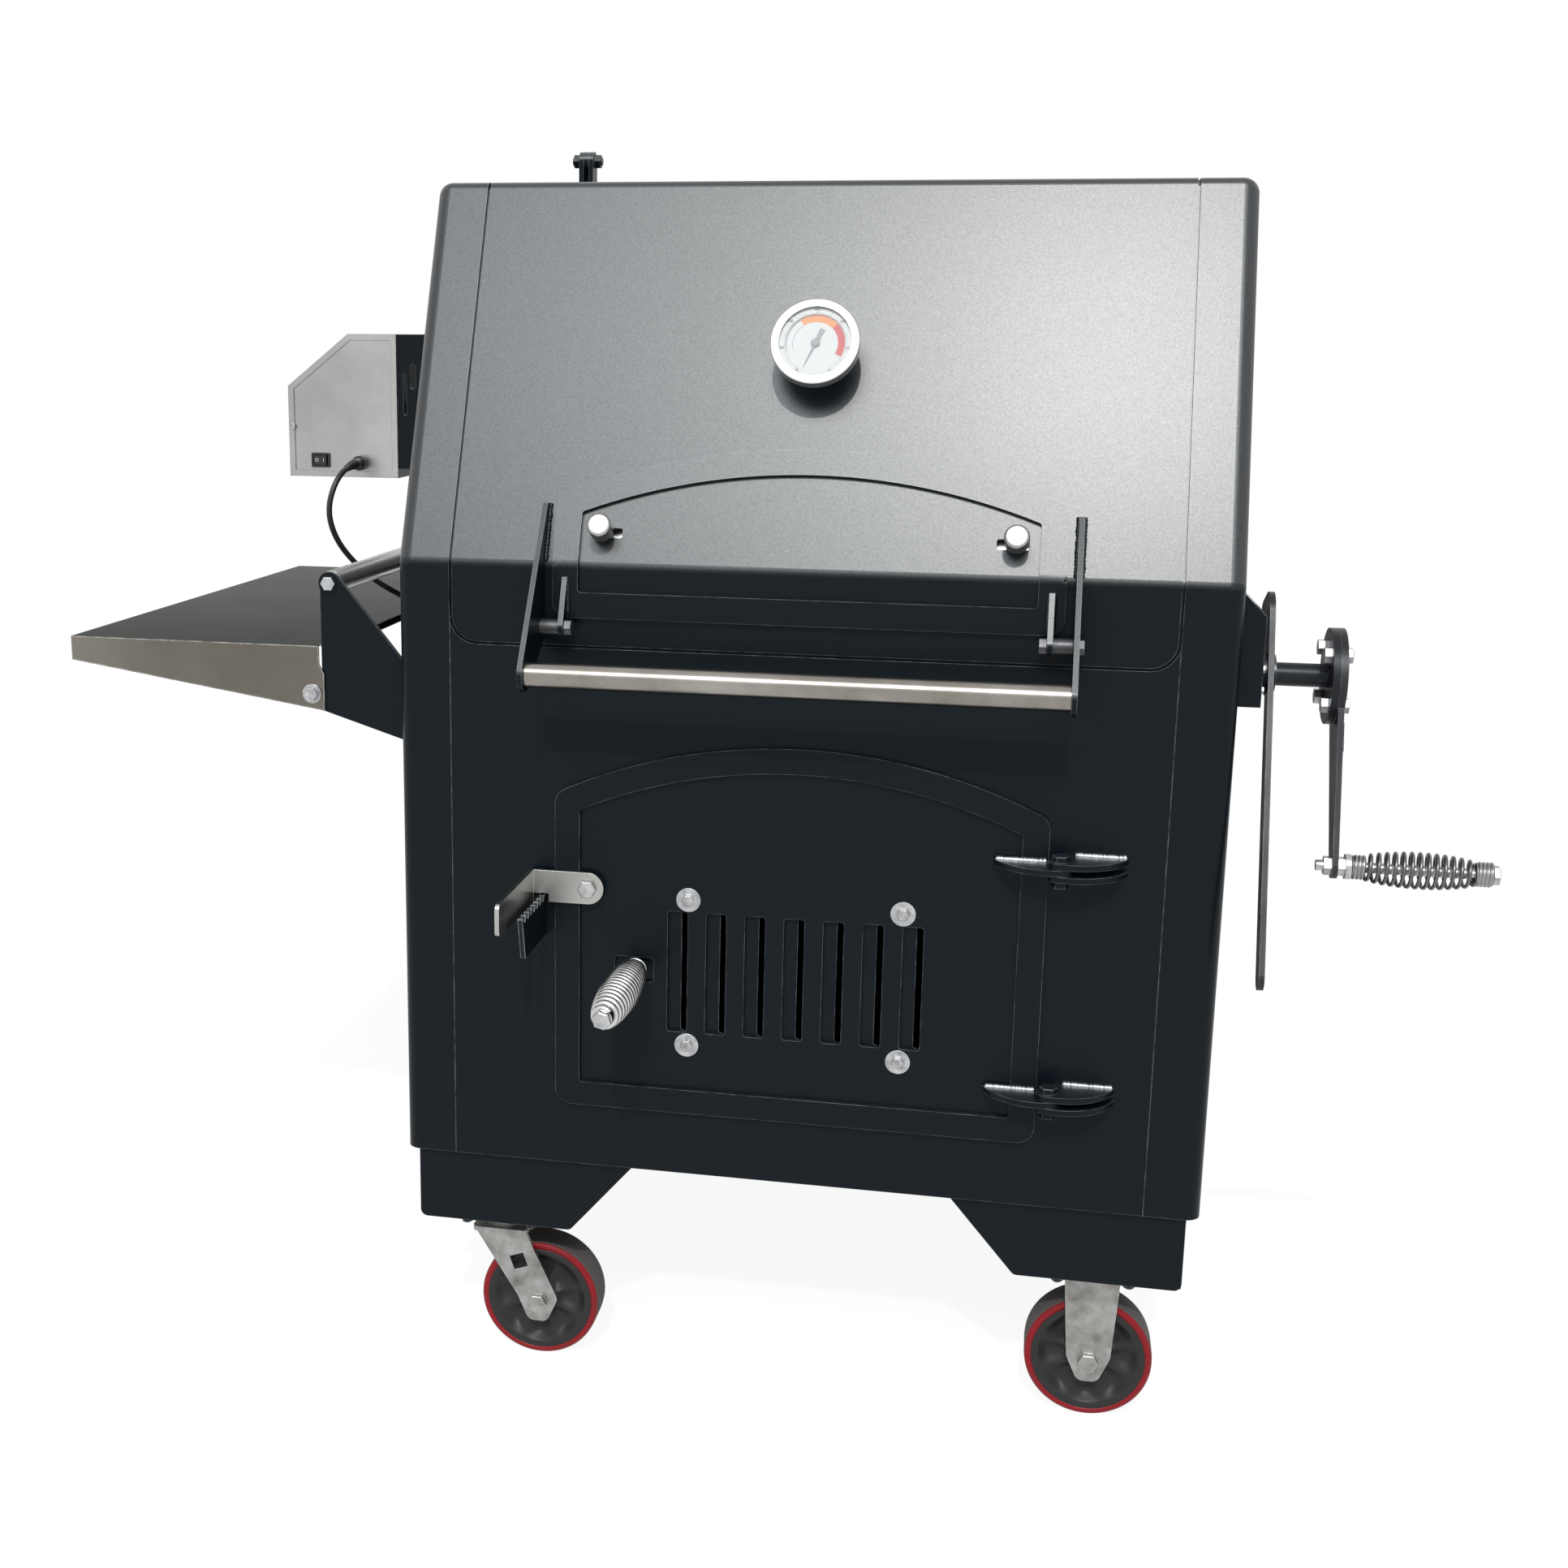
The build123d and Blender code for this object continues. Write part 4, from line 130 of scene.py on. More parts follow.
class RoasterColours(bpy.types.PropertyGroup):
    paint: bpy.props.FloatVectorProperty(
        name="Paint", description="Satin black paint", subtype="COLOR", default=(0.0034, 0.0066, 0.0098)
    )
    stainless: bpy.props.FloatVectorProperty(
        name="Stainless", description="Brushed stainless sheet", subtype="COLOR", default=(0.52, 0.52, 0.51)
    )
    zinc: bpy.props.FloatVectorProperty(
        name="Zinc", description="Zinc plating", subtype="COLOR", default=(0.60, 0.61, 0.62)
    )
    steel: bpy.props.FloatVectorProperty(
        name="Bare steel", description="Bare mill steel", subtype="COLOR", default=(0.21, 0.195, 0.18)
    )
    wheel: bpy.props.FloatVectorProperty(
        name="Wheel rim", description="Red polyurethane", subtype="COLOR", default=(0.30, 0.007, 0.013)
    )
    tread: bpy.props.FloatVectorProperty(
        name="Tread", description="Dusty rolling face", subtype="COLOR", default=(0.115, 0.105, 0.10)
    )
    core: bpy.props.FloatVectorProperty(
        name="Wheel core", description="Moulded wheel centre", subtype="COLOR",
        default=(0.024, 0.0235, 0.024),
    )
    plastic: bpy.props.FloatVectorProperty(
        name="Plastic", description="Black plastic and rubber", subtype="COLOR",
        default=(0.012, 0.012, 0.013),
    )
    enamel: bpy.props.FloatVectorProperty(
        name="Dial", description="White gauge dial", subtype="COLOR", default=(0.68, 0.685, 0.69)
    )
    red: bpy.props.FloatVectorProperty(
        name="Dial red", description="Hot band on the dial", subtype="COLOR", default=(0.55, 0.03, 0.035)
    )
    orange: bpy.props.FloatVectorProperty(
        name="Dial orange", description="Warm band on the dial", subtype="COLOR", default=(0.80, 0.26, 0.05)
    )


# ---------------------------------------------------------------- nodes of any tree
def plug(tree, slot, value):
    """Puts a constant, or another node's socket, into a socket."""
    if isinstance(value, bpy.types.NodeSocket):
        tree.links.new(value, slot)
    else:
        slot.default_value = value


def add_node(tree, kind, **sockets):
    """A node of that kind, with constants or other nodes' sockets in the named sockets."""
    node = tree.nodes.new(kind)
    for label, value in sockets.items():
        plug(tree, node.inputs[label.replace("_", " ")], value)
    return node


def maths(tree, operation, *values, kind="ShaderNodeMath", result="Value"):
    """A maths node's result: each value is a constant or a socket."""
    node = tree.nodes.new(kind)
    node.operation = operation
    for slot, value in zip(node.inputs, values):
        plug(tree, slot, value)
    return node.outputs[result]


def height_of(tree, place):
    """The third component of a place or a direction."""
    return add_node(tree, "ShaderNodeSeparateXYZ", Vector=place).outputs["Z"]


# ---------------------------------------------------------------- shader groups shared by the materials
EDGE_SAMPLES = 4


def new_group(name, inputs, kind, output):
    """An empty shader group: its inputs as (name, type, default), its one output as type and name."""
    group = bpy.data.node_groups.new(name, "ShaderNodeTree")
    for label, way, default in inputs:
        socket = group.interface.new_socket(name=label, in_out="INPUT", socket_type="NodeSocket" + way)
        socket.default_value = default
    group.interface.new_socket(name=output, in_out="OUTPUT", socket_type="NodeSocket" + kind)
    given, made = group.nodes.new("NodeGroupInput"), group.nodes.new("NodeGroupOutput")
    return group, given.outputs, made.inputs[output]


def object_place(tree):
    return tree.nodes.new("ShaderNodeTexCoord").outputs["Object"]


def speckle(tree, place, **sockets):
    return add_node(tree, "ShaderNodeTexNoise", Vector=place, **sockets).outputs["Fac"]


def ranged(tree, value, from_min, from_max, to_min, to_max):
    """The value carried from one range to another, held within it."""
    return add_node(
        tree, "ShaderNodeMapRange", Value=value, From_Min=from_min, From_Max=from_max, To_Min=to_min,
        To_Max=to_max,
    ).outputs["Result"]


def bent_normal(tree, radius):
    """The normal that sharp edges have when they are rounded to a radius."""
    bevel = add_node(tree, "ShaderNodeBevel", Radius=radius)
    bevel.samples = EDGE_SAMPLES
    return bevel.outputs["Normal"]


def grained_edge_group():
    """Rounds sharp edges for light and lays a fine grain over the surface: gives a normal."""
    group, given, result = new_group(
        "Grained edges",
        [
            ("Edge Radius", "Float", 0.001),
            ("Grain Size", "Vector", (400, 400, 400)),
            ("Grain Height", "Float", 0.00003),
        ],
        "Vector", "Normal",
    )
    place = maths(
        group, "MULTIPLY", object_place(group), given["Grain Size"], kind="ShaderNodeVectorMath",
        result="Vector",
    )
    bump = add_node(
        group, "ShaderNodeBump", Strength=1.0, Distance=given["Grain Height"],
        Height=speckle(group, place, Scale=1.0, Detail=3.0, Roughness=0.55),
        Normal=bent_normal(group, given["Edge Radius"]),
    )
    plug(group, result, bump.outputs["Normal"])
    return group


def edge_wear_and_light_group():
    """Finds the edges of plates: 1 on an edge, 0 on flat faces, broken up by noise. Its colour stands for
    worn metal on some finishes, for painted highlights on others, and for painted shade lines on the
    brushed stainless.
    """
    group, given, result = new_group(
        "Edge wear and painted light", [("Width", "Float", 0.0012), ("Amount", "Float", 0.6)], "Float", "Mask"
    )
    noise_span, share_span, turn_span = (0.35, 0.65), (0.15, 1.0), (0.995, 0.90)
    flat = group.nodes.new("ShaderNodeNewGeometry").outputs["Normal"]
    turn = maths(
        group, "DOT_PRODUCT", bent_normal(group, given["Width"]), flat, kind="ShaderNodeVectorMath"
    )
    noise = speckle(group, object_place(group), Scale=60.0, Detail=4.0, Roughness=0.6)
    broken = ranged(group, noise, *noise_span, *share_span)
    mask = maths(group, "MULTIPLY", ranged(group, turn, *turn_span, 0.0, 1.0), broken)
    plug(group, result, maths(group, "MULTIPLY", mask, given["Amount"]))
    return group


def mottle_group():
    """Slow and fine variation of a value about its middle, such as a roughness."""
    group, given, result = new_group(
        "Mottle",
        [("Middle", "Float", 0.4), ("Spread", "Float", 0.1), ("Scale", "Float", 6.0)],
        "Float", "Value",
    )
    noise = speckle(group, object_place(group), Scale=given["Scale"], Detail=6.0, Roughness=0.6)
    centred = maths(group, "SUBTRACT", noise, 0.5)
    plug(group, result, maths(group, "MULTIPLY_ADD", centred, given["Spread"], given["Middle"]))
    return group


def leaning_group():
    """Goes from one value to another, finely speckled, as a face leans from upright to facing up."""
    group, given, result = new_group(
        "Leaning up",
        [("Low", "Float", 0.0), ("High", "Float", 1.0), ("From", "Float", 0.0), ("To", "Float", 1.0)],
        "Float", "Value",
    )
    way = height_of(group, group.nodes.new("ShaderNodeTexCoord").outputs["Normal"])
    level = ranged(group, way, given["Low"], given["High"], given["From"], given["To"])
    noise = speckle(group, object_place(group), Scale=420.0, Detail=2.0, Roughness=0.6)
    noise_span, speckle_span = (0.3, 0.7), (0.84, 1.16)
    speckled = ranged(group, noise, *noise_span, *speckle_span)
    plug(group, result, maths(group, "MULTIPLY", level, speckled))
    return group


def use_group(tree, name, **sockets):
    """The result of a shared group, with its inputs set: the group is built the first time."""
    makers = {
        "Grained edges": grained_edge_group,
        "Edge wear and painted light": edge_wear_and_light_group,
        "Mottle": mottle_group,
        "Leaning up": leaning_group,
    }
    node = tree.nodes.new("ShaderNodeGroup")
    node.node_tree = bpy.data.node_groups.get(name) or makers[name]()
    for label, value in sockets.items():
        plug(tree, node.inputs[label.replace("_", " ")], value)
    return node.outputs[0]


# ---------------------------------------------------------------- materials
# The second pair is how far up a face must look to take the painted reflection colour.
LEANING, TOP_REFLECTION_RANGE = (0.08, 0.33), (0.75, 0.95)
PATCH_CONTRAST, EDGE_WEAR_AND_LIGHT_WIDTH = 2.4, 1.4
CASTER_BOLT_TOP = 0.3


def colour_mix(tree, factor, first, second):
    """Mixes two colours, each a colour or a socket, by the factor."""
    mix = tree.nodes.new("ShaderNodeMix")
    mix.data_type = "RGBA"
    mix.clamp_factor = True
    for slot, value in zip((mix.inputs[0], mix.inputs[6], mix.inputs[7]), (factor, first, second)):
        plug(tree, slot, (*value, 1) if isinstance(value, tuple) else value)
    return mix.outputs[2]


def finish(name, colour, roughness, metallic=0.0, spread=0.08, scale=6.0, edge=0.0009, grain=400,
           height=0.00002, wear=None, wear_colour=(0.5, 0.5, 0.5), patch=None, patch_scale=12.0,
           lean=None, top=None, below=None, **sockets):
    """A finish with mottled roughness, rounded edges and grain.

    A grain is one number or three, in waves per metre along X, Y and Z. Edges take their edge colour by the
    given share:
    worn metal on some finishes, painted highlights and painted shade lines on others. Where patch is given,
    the colour drifts towards it in soft patches. Faces that lean upward take the coat weight lean, and
    faces that look straight up take the colour top, a painted reflection. Below the height that below
    gives, the finish takes its colour."""
    material = bpy.data.materials.new(name)
    material.use_nodes = True
    tree = material.node_tree
    shader = tree.nodes["Principled BSDF"]
    tone = colour
    if patch:
        drift = use_group(tree, "Mottle", Middle=0.5, Spread=PATCH_CONTRAST, Scale=patch_scale)
        tone = colour_mix(tree, drift, tone, patch)
    # Faces that look straight up take a painted reflection colour.
    if top:
        level = use_group(tree, "Leaning up", Low=TOP_REFLECTION_RANGE[0], High=TOP_REFLECTION_RANGE[1], From=0.0, To=1.0)
        tone = colour_mix(tree, level, tone, top)
    if below:
        low = maths(tree, "LESS_THAN", height_of(tree, object_place(tree)), below[0])
        tone = colour_mix(tree, low, tone, below[1])
    # Edge colour: worn metal on some finishes, painted highlights and painted shade lines on others.
    if wear:
        edge_wear_and_light_mask = use_group(tree, "Edge wear and painted light", Width=EDGE_WEAR_AND_LIGHT_WIDTH * edge, Amount=wear)
        tone = colour_mix(tree, edge_wear_and_light_mask, tone, wear_colour)
    if lean:
        sockets["Coat_Weight"] = use_group(
            tree, "Leaning up", Low=LEANING[0], High=LEANING[1], From=0.0, To=lean
        )
    sockets["Base_Color"] = (*tone, 1) if isinstance(tone, tuple) else tone
    sockets["Metallic"] = metallic
    sockets["Roughness"] = use_group(tree, "Mottle", Middle=roughness, Spread=spread, Scale=scale)
    sockets["Normal"] = use_group(
        tree, "Grained edges", Edge_Radius=edge, Grain_Height=height,
        Grain_Size=grain if isinstance(grain, tuple) else (grain, grain, grain),
    )
    for label, value in sockets.items():
        plug(tree, shader.inputs[label.replace("_", " ")], value)
    material.diffuse_color = (*colour, 1)
    return material


def paint_finishes(colours, sizes):
    """The painted and blackened finishes."""
    paint = tuple(colours.paint)
    # The satin paint's pale edge colour is a painted highlight: sunlight on rounded edges and seams.
    satin = {"spread": 0.03, "edge": sizes.edge, "grain": 420, "height": 0.00003, "wear": 0.85,
             "wear_colour": (0.28, 0.31, 0.34), "Specular_IOR_Level": 0.14, "Coat_IOR": 1.6}
    return {
        "paint": finish("Satin black paint", paint, 0.34, lean=1.0, Coat_Roughness=0.34, **satin),
        "door_paint": finish(
            "Satin black door paint", paint, 0.35, lean=1.06, Coat_Roughness=0.35, **satin
        ),
        # The oiled steel's pale edge colour is a painted highlight, standing in for reflections on the
        # arm's edges.
        "gunmetal": finish(
            "Oiled black steel", (0.052, 0.052, 0.054), 0.40, 0.9, spread=0.22, scale=16, grain=90,
            height=0.00004, patch=(0.030, 0.031, 0.034), patch_scale=9.0, wear=0.9,
            wear_colour=(0.46, 0.46, 0.46), Specular_IOR_Level=0.3,
        ),
        "black_steel": finish(
            "Blackened steel", (0.020, 0.022, 0.026), 0.38, 0.7, spread=0.2, scale=16, grain=200,
            height=0.00003, wear=0.5, wear_colour=(0.22, 0.22, 0.23), Specular_IOR_Level=0.3,
        ),
        "toothed": finish(
            "Painted plate with bare teeth", paint, 0.34, edge=1.4 * sizes.edge, grain=420,
            height=0.00003, wear=1.0, wear_colour=(0.60, 0.60, 0.60), Specular_IOR_Level=0.24,
        ),
        "painted_weld": finish(
            "Painted weld bead", paint, 0.34, grain=700, height=0.00003, Specular_IOR_Level=0.4
        ),
    }


def sheet_finishes(colours):
    """The brushed, plated and galvanised finishes."""
    stainless, zinc = tuple(colours.stainless), tuple(colours.zinc)
    return {
        # The brushed stainless's dark edge colour is painted shade: dark rim lines along the case's edges.
        "stainless": finish(
            "Brushed stainless", stainless, 0.30, 1.0, spread=0.18, scale=14, grain=(16, 16, 1500),
            height=0.00003, patch=(0.32, 0.325, 0.32), patch_scale=5.0, wear=0.9,
            wear_colour=(0.07, 0.07, 0.07),
        ),
        # The latch's pale edge colour is a painted highlight at the strip's bend.
        "stainless_latch": finish(
            "Brushed stainless latch", (0.36, 0.355, 0.34), 0.30, 1.0, spread=0.2, scale=22,
            grain=(14, 14, 1600), patch=(0.52, 0.52, 0.50), patch_scale=18.0, wear=0.8,
            wear_colour=(0.85, 0.85, 0.83),
        ),
        # The shelf's top face takes a darker colour, a painted reflection of its dark surroundings.
        "stainless_shelf": finish(
            "Brushed stainless shelf", (0.24, 0.225, 0.20), 0.17, 1.0, spread=0.12, scale=7, edge=0.002,
            grain=(16, 1200, 1200), height=0.00001, patch=(0.14, 0.13, 0.11), patch_scale=3.0,
            wear=0.9, wear_colour=(0.80, 0.79, 0.76), top=(0.165, 0.17, 0.166),
            Specular_Tint=(0.20, 0.205, 0.20, 1.0),
        ),
        "stainless_bar": finish(
            "Brushed stainless tube", stainless, 0.22, 1.0, spread=0.12, scale=9,
            grain=(10, 1400, 1400), height=0.00001, patch=(0.40, 0.38, 0.35), patch_scale=5.0,
        ),
        "handled_bar": finish(
            "Handled stainless tube", (0.38, 0.365, 0.34), 0.24, 1.0, spread=0.14, scale=9,
            grain=(10, 1400, 1400), patch=(0.16, 0.14, 0.11), patch_scale=6.0,
        ),
        "stainless_rail": finish(
            "Brushed stainless rail", stainless, 0.26, 1.0, spread=0.12, scale=9,
            grain=(1400, 10, 1400), height=0.00001, patch=(0.38, 0.38, 0.37), patch_scale=5.0,
        ),
        "polished": finish(
            "Polished bezel", (0.74, 0.74, 0.74), 0.16, 1.0, scale=20, grain=300, height=0.000005
        ),
        "zinc": finish(
            "Zinc plating", zinc, 0.36, 1.0, spread=0.25, scale=45, grain=180, height=0.00004,
            patch=(0.26, 0.26, 0.27), patch_scale=80.0, wear=0.6, wear_colour=(0.92, 0.92, 0.92),
            below=(CASTER_BOLT_TOP, (0.03, 0.03, 0.032)),
        ),
        "dull_bolt": finish(
            "Dull dark bolts", (0.13, 0.13, 0.135), 0.46, 0.9, spread=0.25, scale=45, grain=180,
            height=0.00004, patch=(0.07, 0.07, 0.075), patch_scale=80.0, wear=0.6,
            wear_colour=(0.45, 0.45, 0.45),
        ),
        "galvanised": finish(
            "Galvanised plate", (0.46, 0.46, 0.45), 0.42, 1.0, spread=0.40, scale=34, grain=120,
            height=0.00007, patch=(0.17, 0.165, 0.155), patch_scale=34.0, wear=0.8,
            wear_colour=(0.85, 0.85, 0.83),
        ),
    }


def steel_finishes(colours):
    """The wires, weld beads and bare metals."""
    wire = {"scale": 60, "grain": 500, "height": 0.00001}
    return {
        "wire": finish(
            "Nickelled spring wire", (0.68, 0.68, 0.67), 0.24, 1.0, spread=0.1,
            patch=(0.52, 0.52, 0.51), patch_scale=40.0, **wire,
        ),
        "grey_wire": finish(
            "Grey spring wire", (0.34, 0.34, 0.345), 0.32, 1.0, spread=0.2,
            patch=(0.22, 0.22, 0.22), patch_scale=40.0, **wire,
        ),
        "dark_wire": finish("Dark spring wire", (0.15, 0.15, 0.155), 0.32, 1.0, spread=0.2, **wire),
        "steel": finish(
            "Bare mill steel", tuple(colours.steel), 0.44, 0.85, spread=0.25, scale=18, grain=90,
            height=0.00004, wear=0.6, wear_colour=(0.42, 0.41, 0.40),
        ),
        "weld": finish(
            "Weld bead", (0.56, 0.57, 0.59), 0.32, 1.0, spread=0.4, scale=120, grain=700, height=0.00003
        ),
        "bronze": finish("Bearing bronze", (0.50, 0.33, 0.14), 0.38, 1.0),
    }


def moulded_finishes(colours):
    """The wheels, the plastic, the cord and the dial."""
    return {
        "enamel": finish("White dial", tuple(colours.enamel), 0.5, spread=0.04, edge=0.0002),
        "ink": finish("Dial black", (0.02, 0.02, 0.022), 0.5, edge=0.0001),
        "grey_ink": finish("Dial grey", (0.30, 0.31, 0.32), 0.5, edge=0.0001),
        "red": finish("Dial red", tuple(colours.red), 0.5, edge=0.0001),
        "orange": finish("Dial orange", tuple(colours.orange), 0.5, edge=0.0001),
        "white_mark": finish("White mark", (0.75, 0.75, 0.75), 0.5, edge=0.0001),
        "plastic": finish("Black plastic", tuple(colours.plastic), 0.42, grain=900, height=0.00001),
        "cord": finish(
            "Cord jacket", (0.020, 0.021, 0.023), 0.46, spread=0.12, scale=25, edge=0.0002, grain=300
        ),
        "wheel": finish(
            "Red polyurethane", tuple(colours.wheel), 0.40, spread=0.2, scale=30, grain=160,
            height=0.00006, patch=(0.22, 0.012, 0.016), patch_scale=24.0, Specular_IOR_Level=0.25,
        ),
        "tread": finish(
            "Dusty tread", tuple(colours.tread), 0.85, spread=0.2, scale=40, grain=260, height=0.0004
        ),
        "core": finish(
            "Moulded wheel centre", tuple(colours.core), 0.42, spread=0.2, scale=40, grain=300,
            height=0.00004, Specular_IOR_Level=0.25,
        ),
    }


def gauge_glass():
    """Thin, almost clear glass."""
    glass = bpy.data.materials.new("Gauge glass")
    glass.use_nodes = True
    shader = glass.node_tree.nodes["Principled BSDF"]
    shader.inputs["Base Color"].default_value = (0.9, 0.93, 0.93, 1)
    shader.inputs["Roughness"].default_value = 0.04
    shader.inputs["Alpha"].default_value = 0.08
    return glass


NODE_FINISH = {
    "paint": (
        "left_side right_side front_wall back_wall floor_plate lid_seat legs lid_panel lid_fittings "
        "handle_arms lid_prop fire_door_frame fire_door_panel damper_plate "
        "body_hinges shelf_brackets motor_bracket shaft_housing"
    ),
    "door_paint": "lid_door_frame lid_door_panel",
    "toothed": "keeper_plate",
    "stainless": "motor_case motor_cover left_catch right_catch",
    "stainless_latch": "latch_strip",
    "stainless_shelf": "shelf",
    "stainless_bar": "spit_rod spit_forks",
    "handled_bar": "handle_bar",
    "stainless_rail": "rail",
    "zinc": "cabinet_fasteners door_bolts crank_bolts",
    "dull_bolt": "lid_bolts",
    "galvanised": "caster_mounts front_swivel_fork rear_swivel_fork",
    "wire": "damper_handle crank_grip",
    "steel": "charcoal_tray gear_motor",
    "gunmetal": "crank_arm lock_lever",
    "black_steel": "lift_shaft",
    "bronze": "side_bushes",
    "polished": "gauge_case",
    "enamel": "gauge_dial",
    "grey_ink": "gauge_needle",
    "glass": "gauge_glass",
    "plastic": "switch_frame rocker cord_gland",
    "cord": "cord cord_coil plug",
    "core": "front_left_wheel rear_left_wheel front_right_wheel rear_right_wheel",
}
MATERIALS = {}


# ---------------------------------------------------------------- mesh helpers
def show(name, data):
    """A new object for a mesh, curve, lamp or camera, at the origin of the scene."""
    piece = bpy.data.objects.new(name, data)
    bpy.context.scene.collection.objects.link(piece)
    return piece


def plain_mesh(holder):
    """The evaluated shape of an object as a plain mesh; the object itself goes."""
    ready = holder.evaluated_get(bpy.context.evaluated_depsgraph_get())
    mesh = bpy.data.meshes.new_from_object(ready)
    bpy.data.objects.remove(holder)
    return mesh


def mesh_piece(name, vertices, faces, *materials, smooth=True, face_materials=None):
    """A piece from a list of points and of faces whose corners run anticlockwise seen from outside."""
    mesh = bpy.data.meshes.new(name)
    mesh.from_pydata([tuple(v) for v in vertices], [], faces)
    for material in materials:
        mesh.materials.append(material)
    if face_materials:
        mesh.polygons.foreach_set("material_index", face_materials)
    mesh.polygons.foreach_set("use_smooth", [smooth] * len(mesh.polygons))
    mesh.update()
    return show(name, mesh)


def thin_plate(name, corners, lift, material):
    """A four-cornered plate: its lower corners, anticlockwise from above, and the step to its top."""
    faces = [(3, 2, 1, 0), (4, 5, 6, 7), (0, 1, 5, 4), (1, 2, 6, 5), (2, 3, 7, 6), (3, 0, 4, 7)]
    upper = [corner + lift for corner in corners]
    return mesh_piece(name, corners + upper, faces, MATERIALS[material], smooth=False)


def ring_quads(first, second, steps):
    """Faces between two rings of points, given by the numbers of their first points."""
    following = [(k + 1) % steps for k in range(steps)]
    return [(first + k, first + n, second + n, second + k) for k, n in enumerate(following)]


def turned(name, axis_at, axis, profile, *materials, steps=64, face_materials=None):
    """A solid of revolution: profile is (along, radius) pairs round the axis, closed or capped."""
    axis = axis.normalized()
    side = axis.orthogonal().normalized()
    other = axis.cross(side)
    spokes = [
        side * math.cos(math.tau * k / steps) + other * math.sin(math.tau * k / steps)
        for k in range(steps)
    ]
    vertices = [axis_at + axis * along + spoke * radius for along, radius in profile for spoke in spokes]
    bands = len(profile) - 1
    kinds = face_materials or [0] * bands
    faces = [quad for i in range(bands) for quad in ring_quads(i * steps, (i + 1) * steps, steps)]
    face_kinds = [kind for kind in kinds for _ in range(steps)]
    if profile[0] != profile[-1]:
        faces.append(tuple(reversed(range(steps))))
        faces.append(tuple(bands * steps + k for k in range(steps)))
        face_kinds += [kinds[0], kinds[-1]]
    return mesh_piece(name, vertices, faces, *materials, face_materials=face_kinds)


def letters(name, text, size, thickness, material):
    """Centred lettering along X that stands off along Z, as a plain mesh at the origin."""
    curve = bpy.data.curves.new(name, "FONT")
    curve.body = text
    curve.size = size
    curve.align_x = "CENTER"
    curve.align_y = "CENTER"
    curve.extrude = thickness
    mesh = plain_mesh(show(name, curve))
    mesh.materials.clear()
    mesh.materials.append(MATERIALS[material])
    return show(name, mesh)


def bake(name, tree, **inputs):
    """Runs a Geometry Nodes tree once and keeps its result as a plain mesh piece."""
    holder = show(name, bpy.data.meshes.new(name))
    modifier = holder.modifiers.new("Shape", "NODES")
    modifier.node_group = tree
    names = {item.name: item.identifier for item in tree.interface.items_tree if item.in_out == "INPUT"}
    for label, value in inputs.items():
        modifier[names[label.replace("_", " ")]] = value
    holder.update_tag()
    mesh = plain_mesh(holder)
    mesh.name = name
    return show(name, mesh)


def join(name, pieces):
    """Joins pieces into one and leaves it at the origin."""
    with bpy.context.temp_override(
        active_object=pieces[0], selected_editable_objects=pieces, selected_objects=pieces
    ):
        bpy.ops.object.join()
    pieces[0].name = name
    pieces[0].data.name = name
    return pieces[0]


def lay(piece, origin, along, across=None):
    """Turns a piece modelled along +Z at the origin to lie along a direction from a place."""
    along = along.normalized()
    if across is None:
        across = along.orthogonal()
    across = (across - along * across.dot(along)).normalized()
    turn = Matrix((across, along.cross(across), along)).transposed().to_4x4()
    piece.data.transform(Matrix.Translation(origin) @ turn)
    piece.data.update()
    return piece


# ---------------------------------------------------------------- Geometry Nodes trees
WIRE_SIDES = 12
STEPS_PER_TURN = 40
STEPS_PER_RIPPLE = 6.0


def new_tree(name, sockets):
    """An empty geometry tree with inputs as (name, type, default): the tree, its inputs, its result."""
    tree = bpy.data.node_groups.new(name, "GeometryNodeTree")
    for label, kind, default in sockets:
        socket = tree.interface.new_socket(name=label, in_out="INPUT", socket_type="NodeSocket" + kind)
        if default is not None:
            socket.default_value = default
    tree.interface.new_socket(name="Geometry", in_out="OUTPUT", socket_type="NodeSocketGeometry")
    given, made = tree.nodes.new("NodeGroupInput"), tree.nodes.new("NodeGroupOutput")
    return tree, given.outputs, made.inputs["Geometry"]


def sweep_wire(tree, result, line, radius, material, **scale):
    """Ends a tree with round wire swept along a line, smooth, made real and given its material."""
    ring = add_node(tree, "GeometryNodeCurvePrimitiveCircle", Resolution=WIRE_SIDES, Radius=radius)
    wire = add_node(
        tree, "GeometryNodeCurveToMesh", Curve=line, Profile_Curve=ring.outputs["Curve"], Fill_Caps=True,
        **scale,
    )
    smooth = add_node(tree, "GeometryNodeSetShadeSmooth", Geometry=wire.outputs["Mesh"])
    real = add_node(tree, "GeometryNodeRealizeInstances", Geometry=smooth.outputs["Geometry"])
    coat = add_node(
        tree, "GeometryNodeSetMaterial", Geometry=real.outputs["Geometry"], Material=material
    )
    plug(tree, result, coat.outputs["Geometry"])


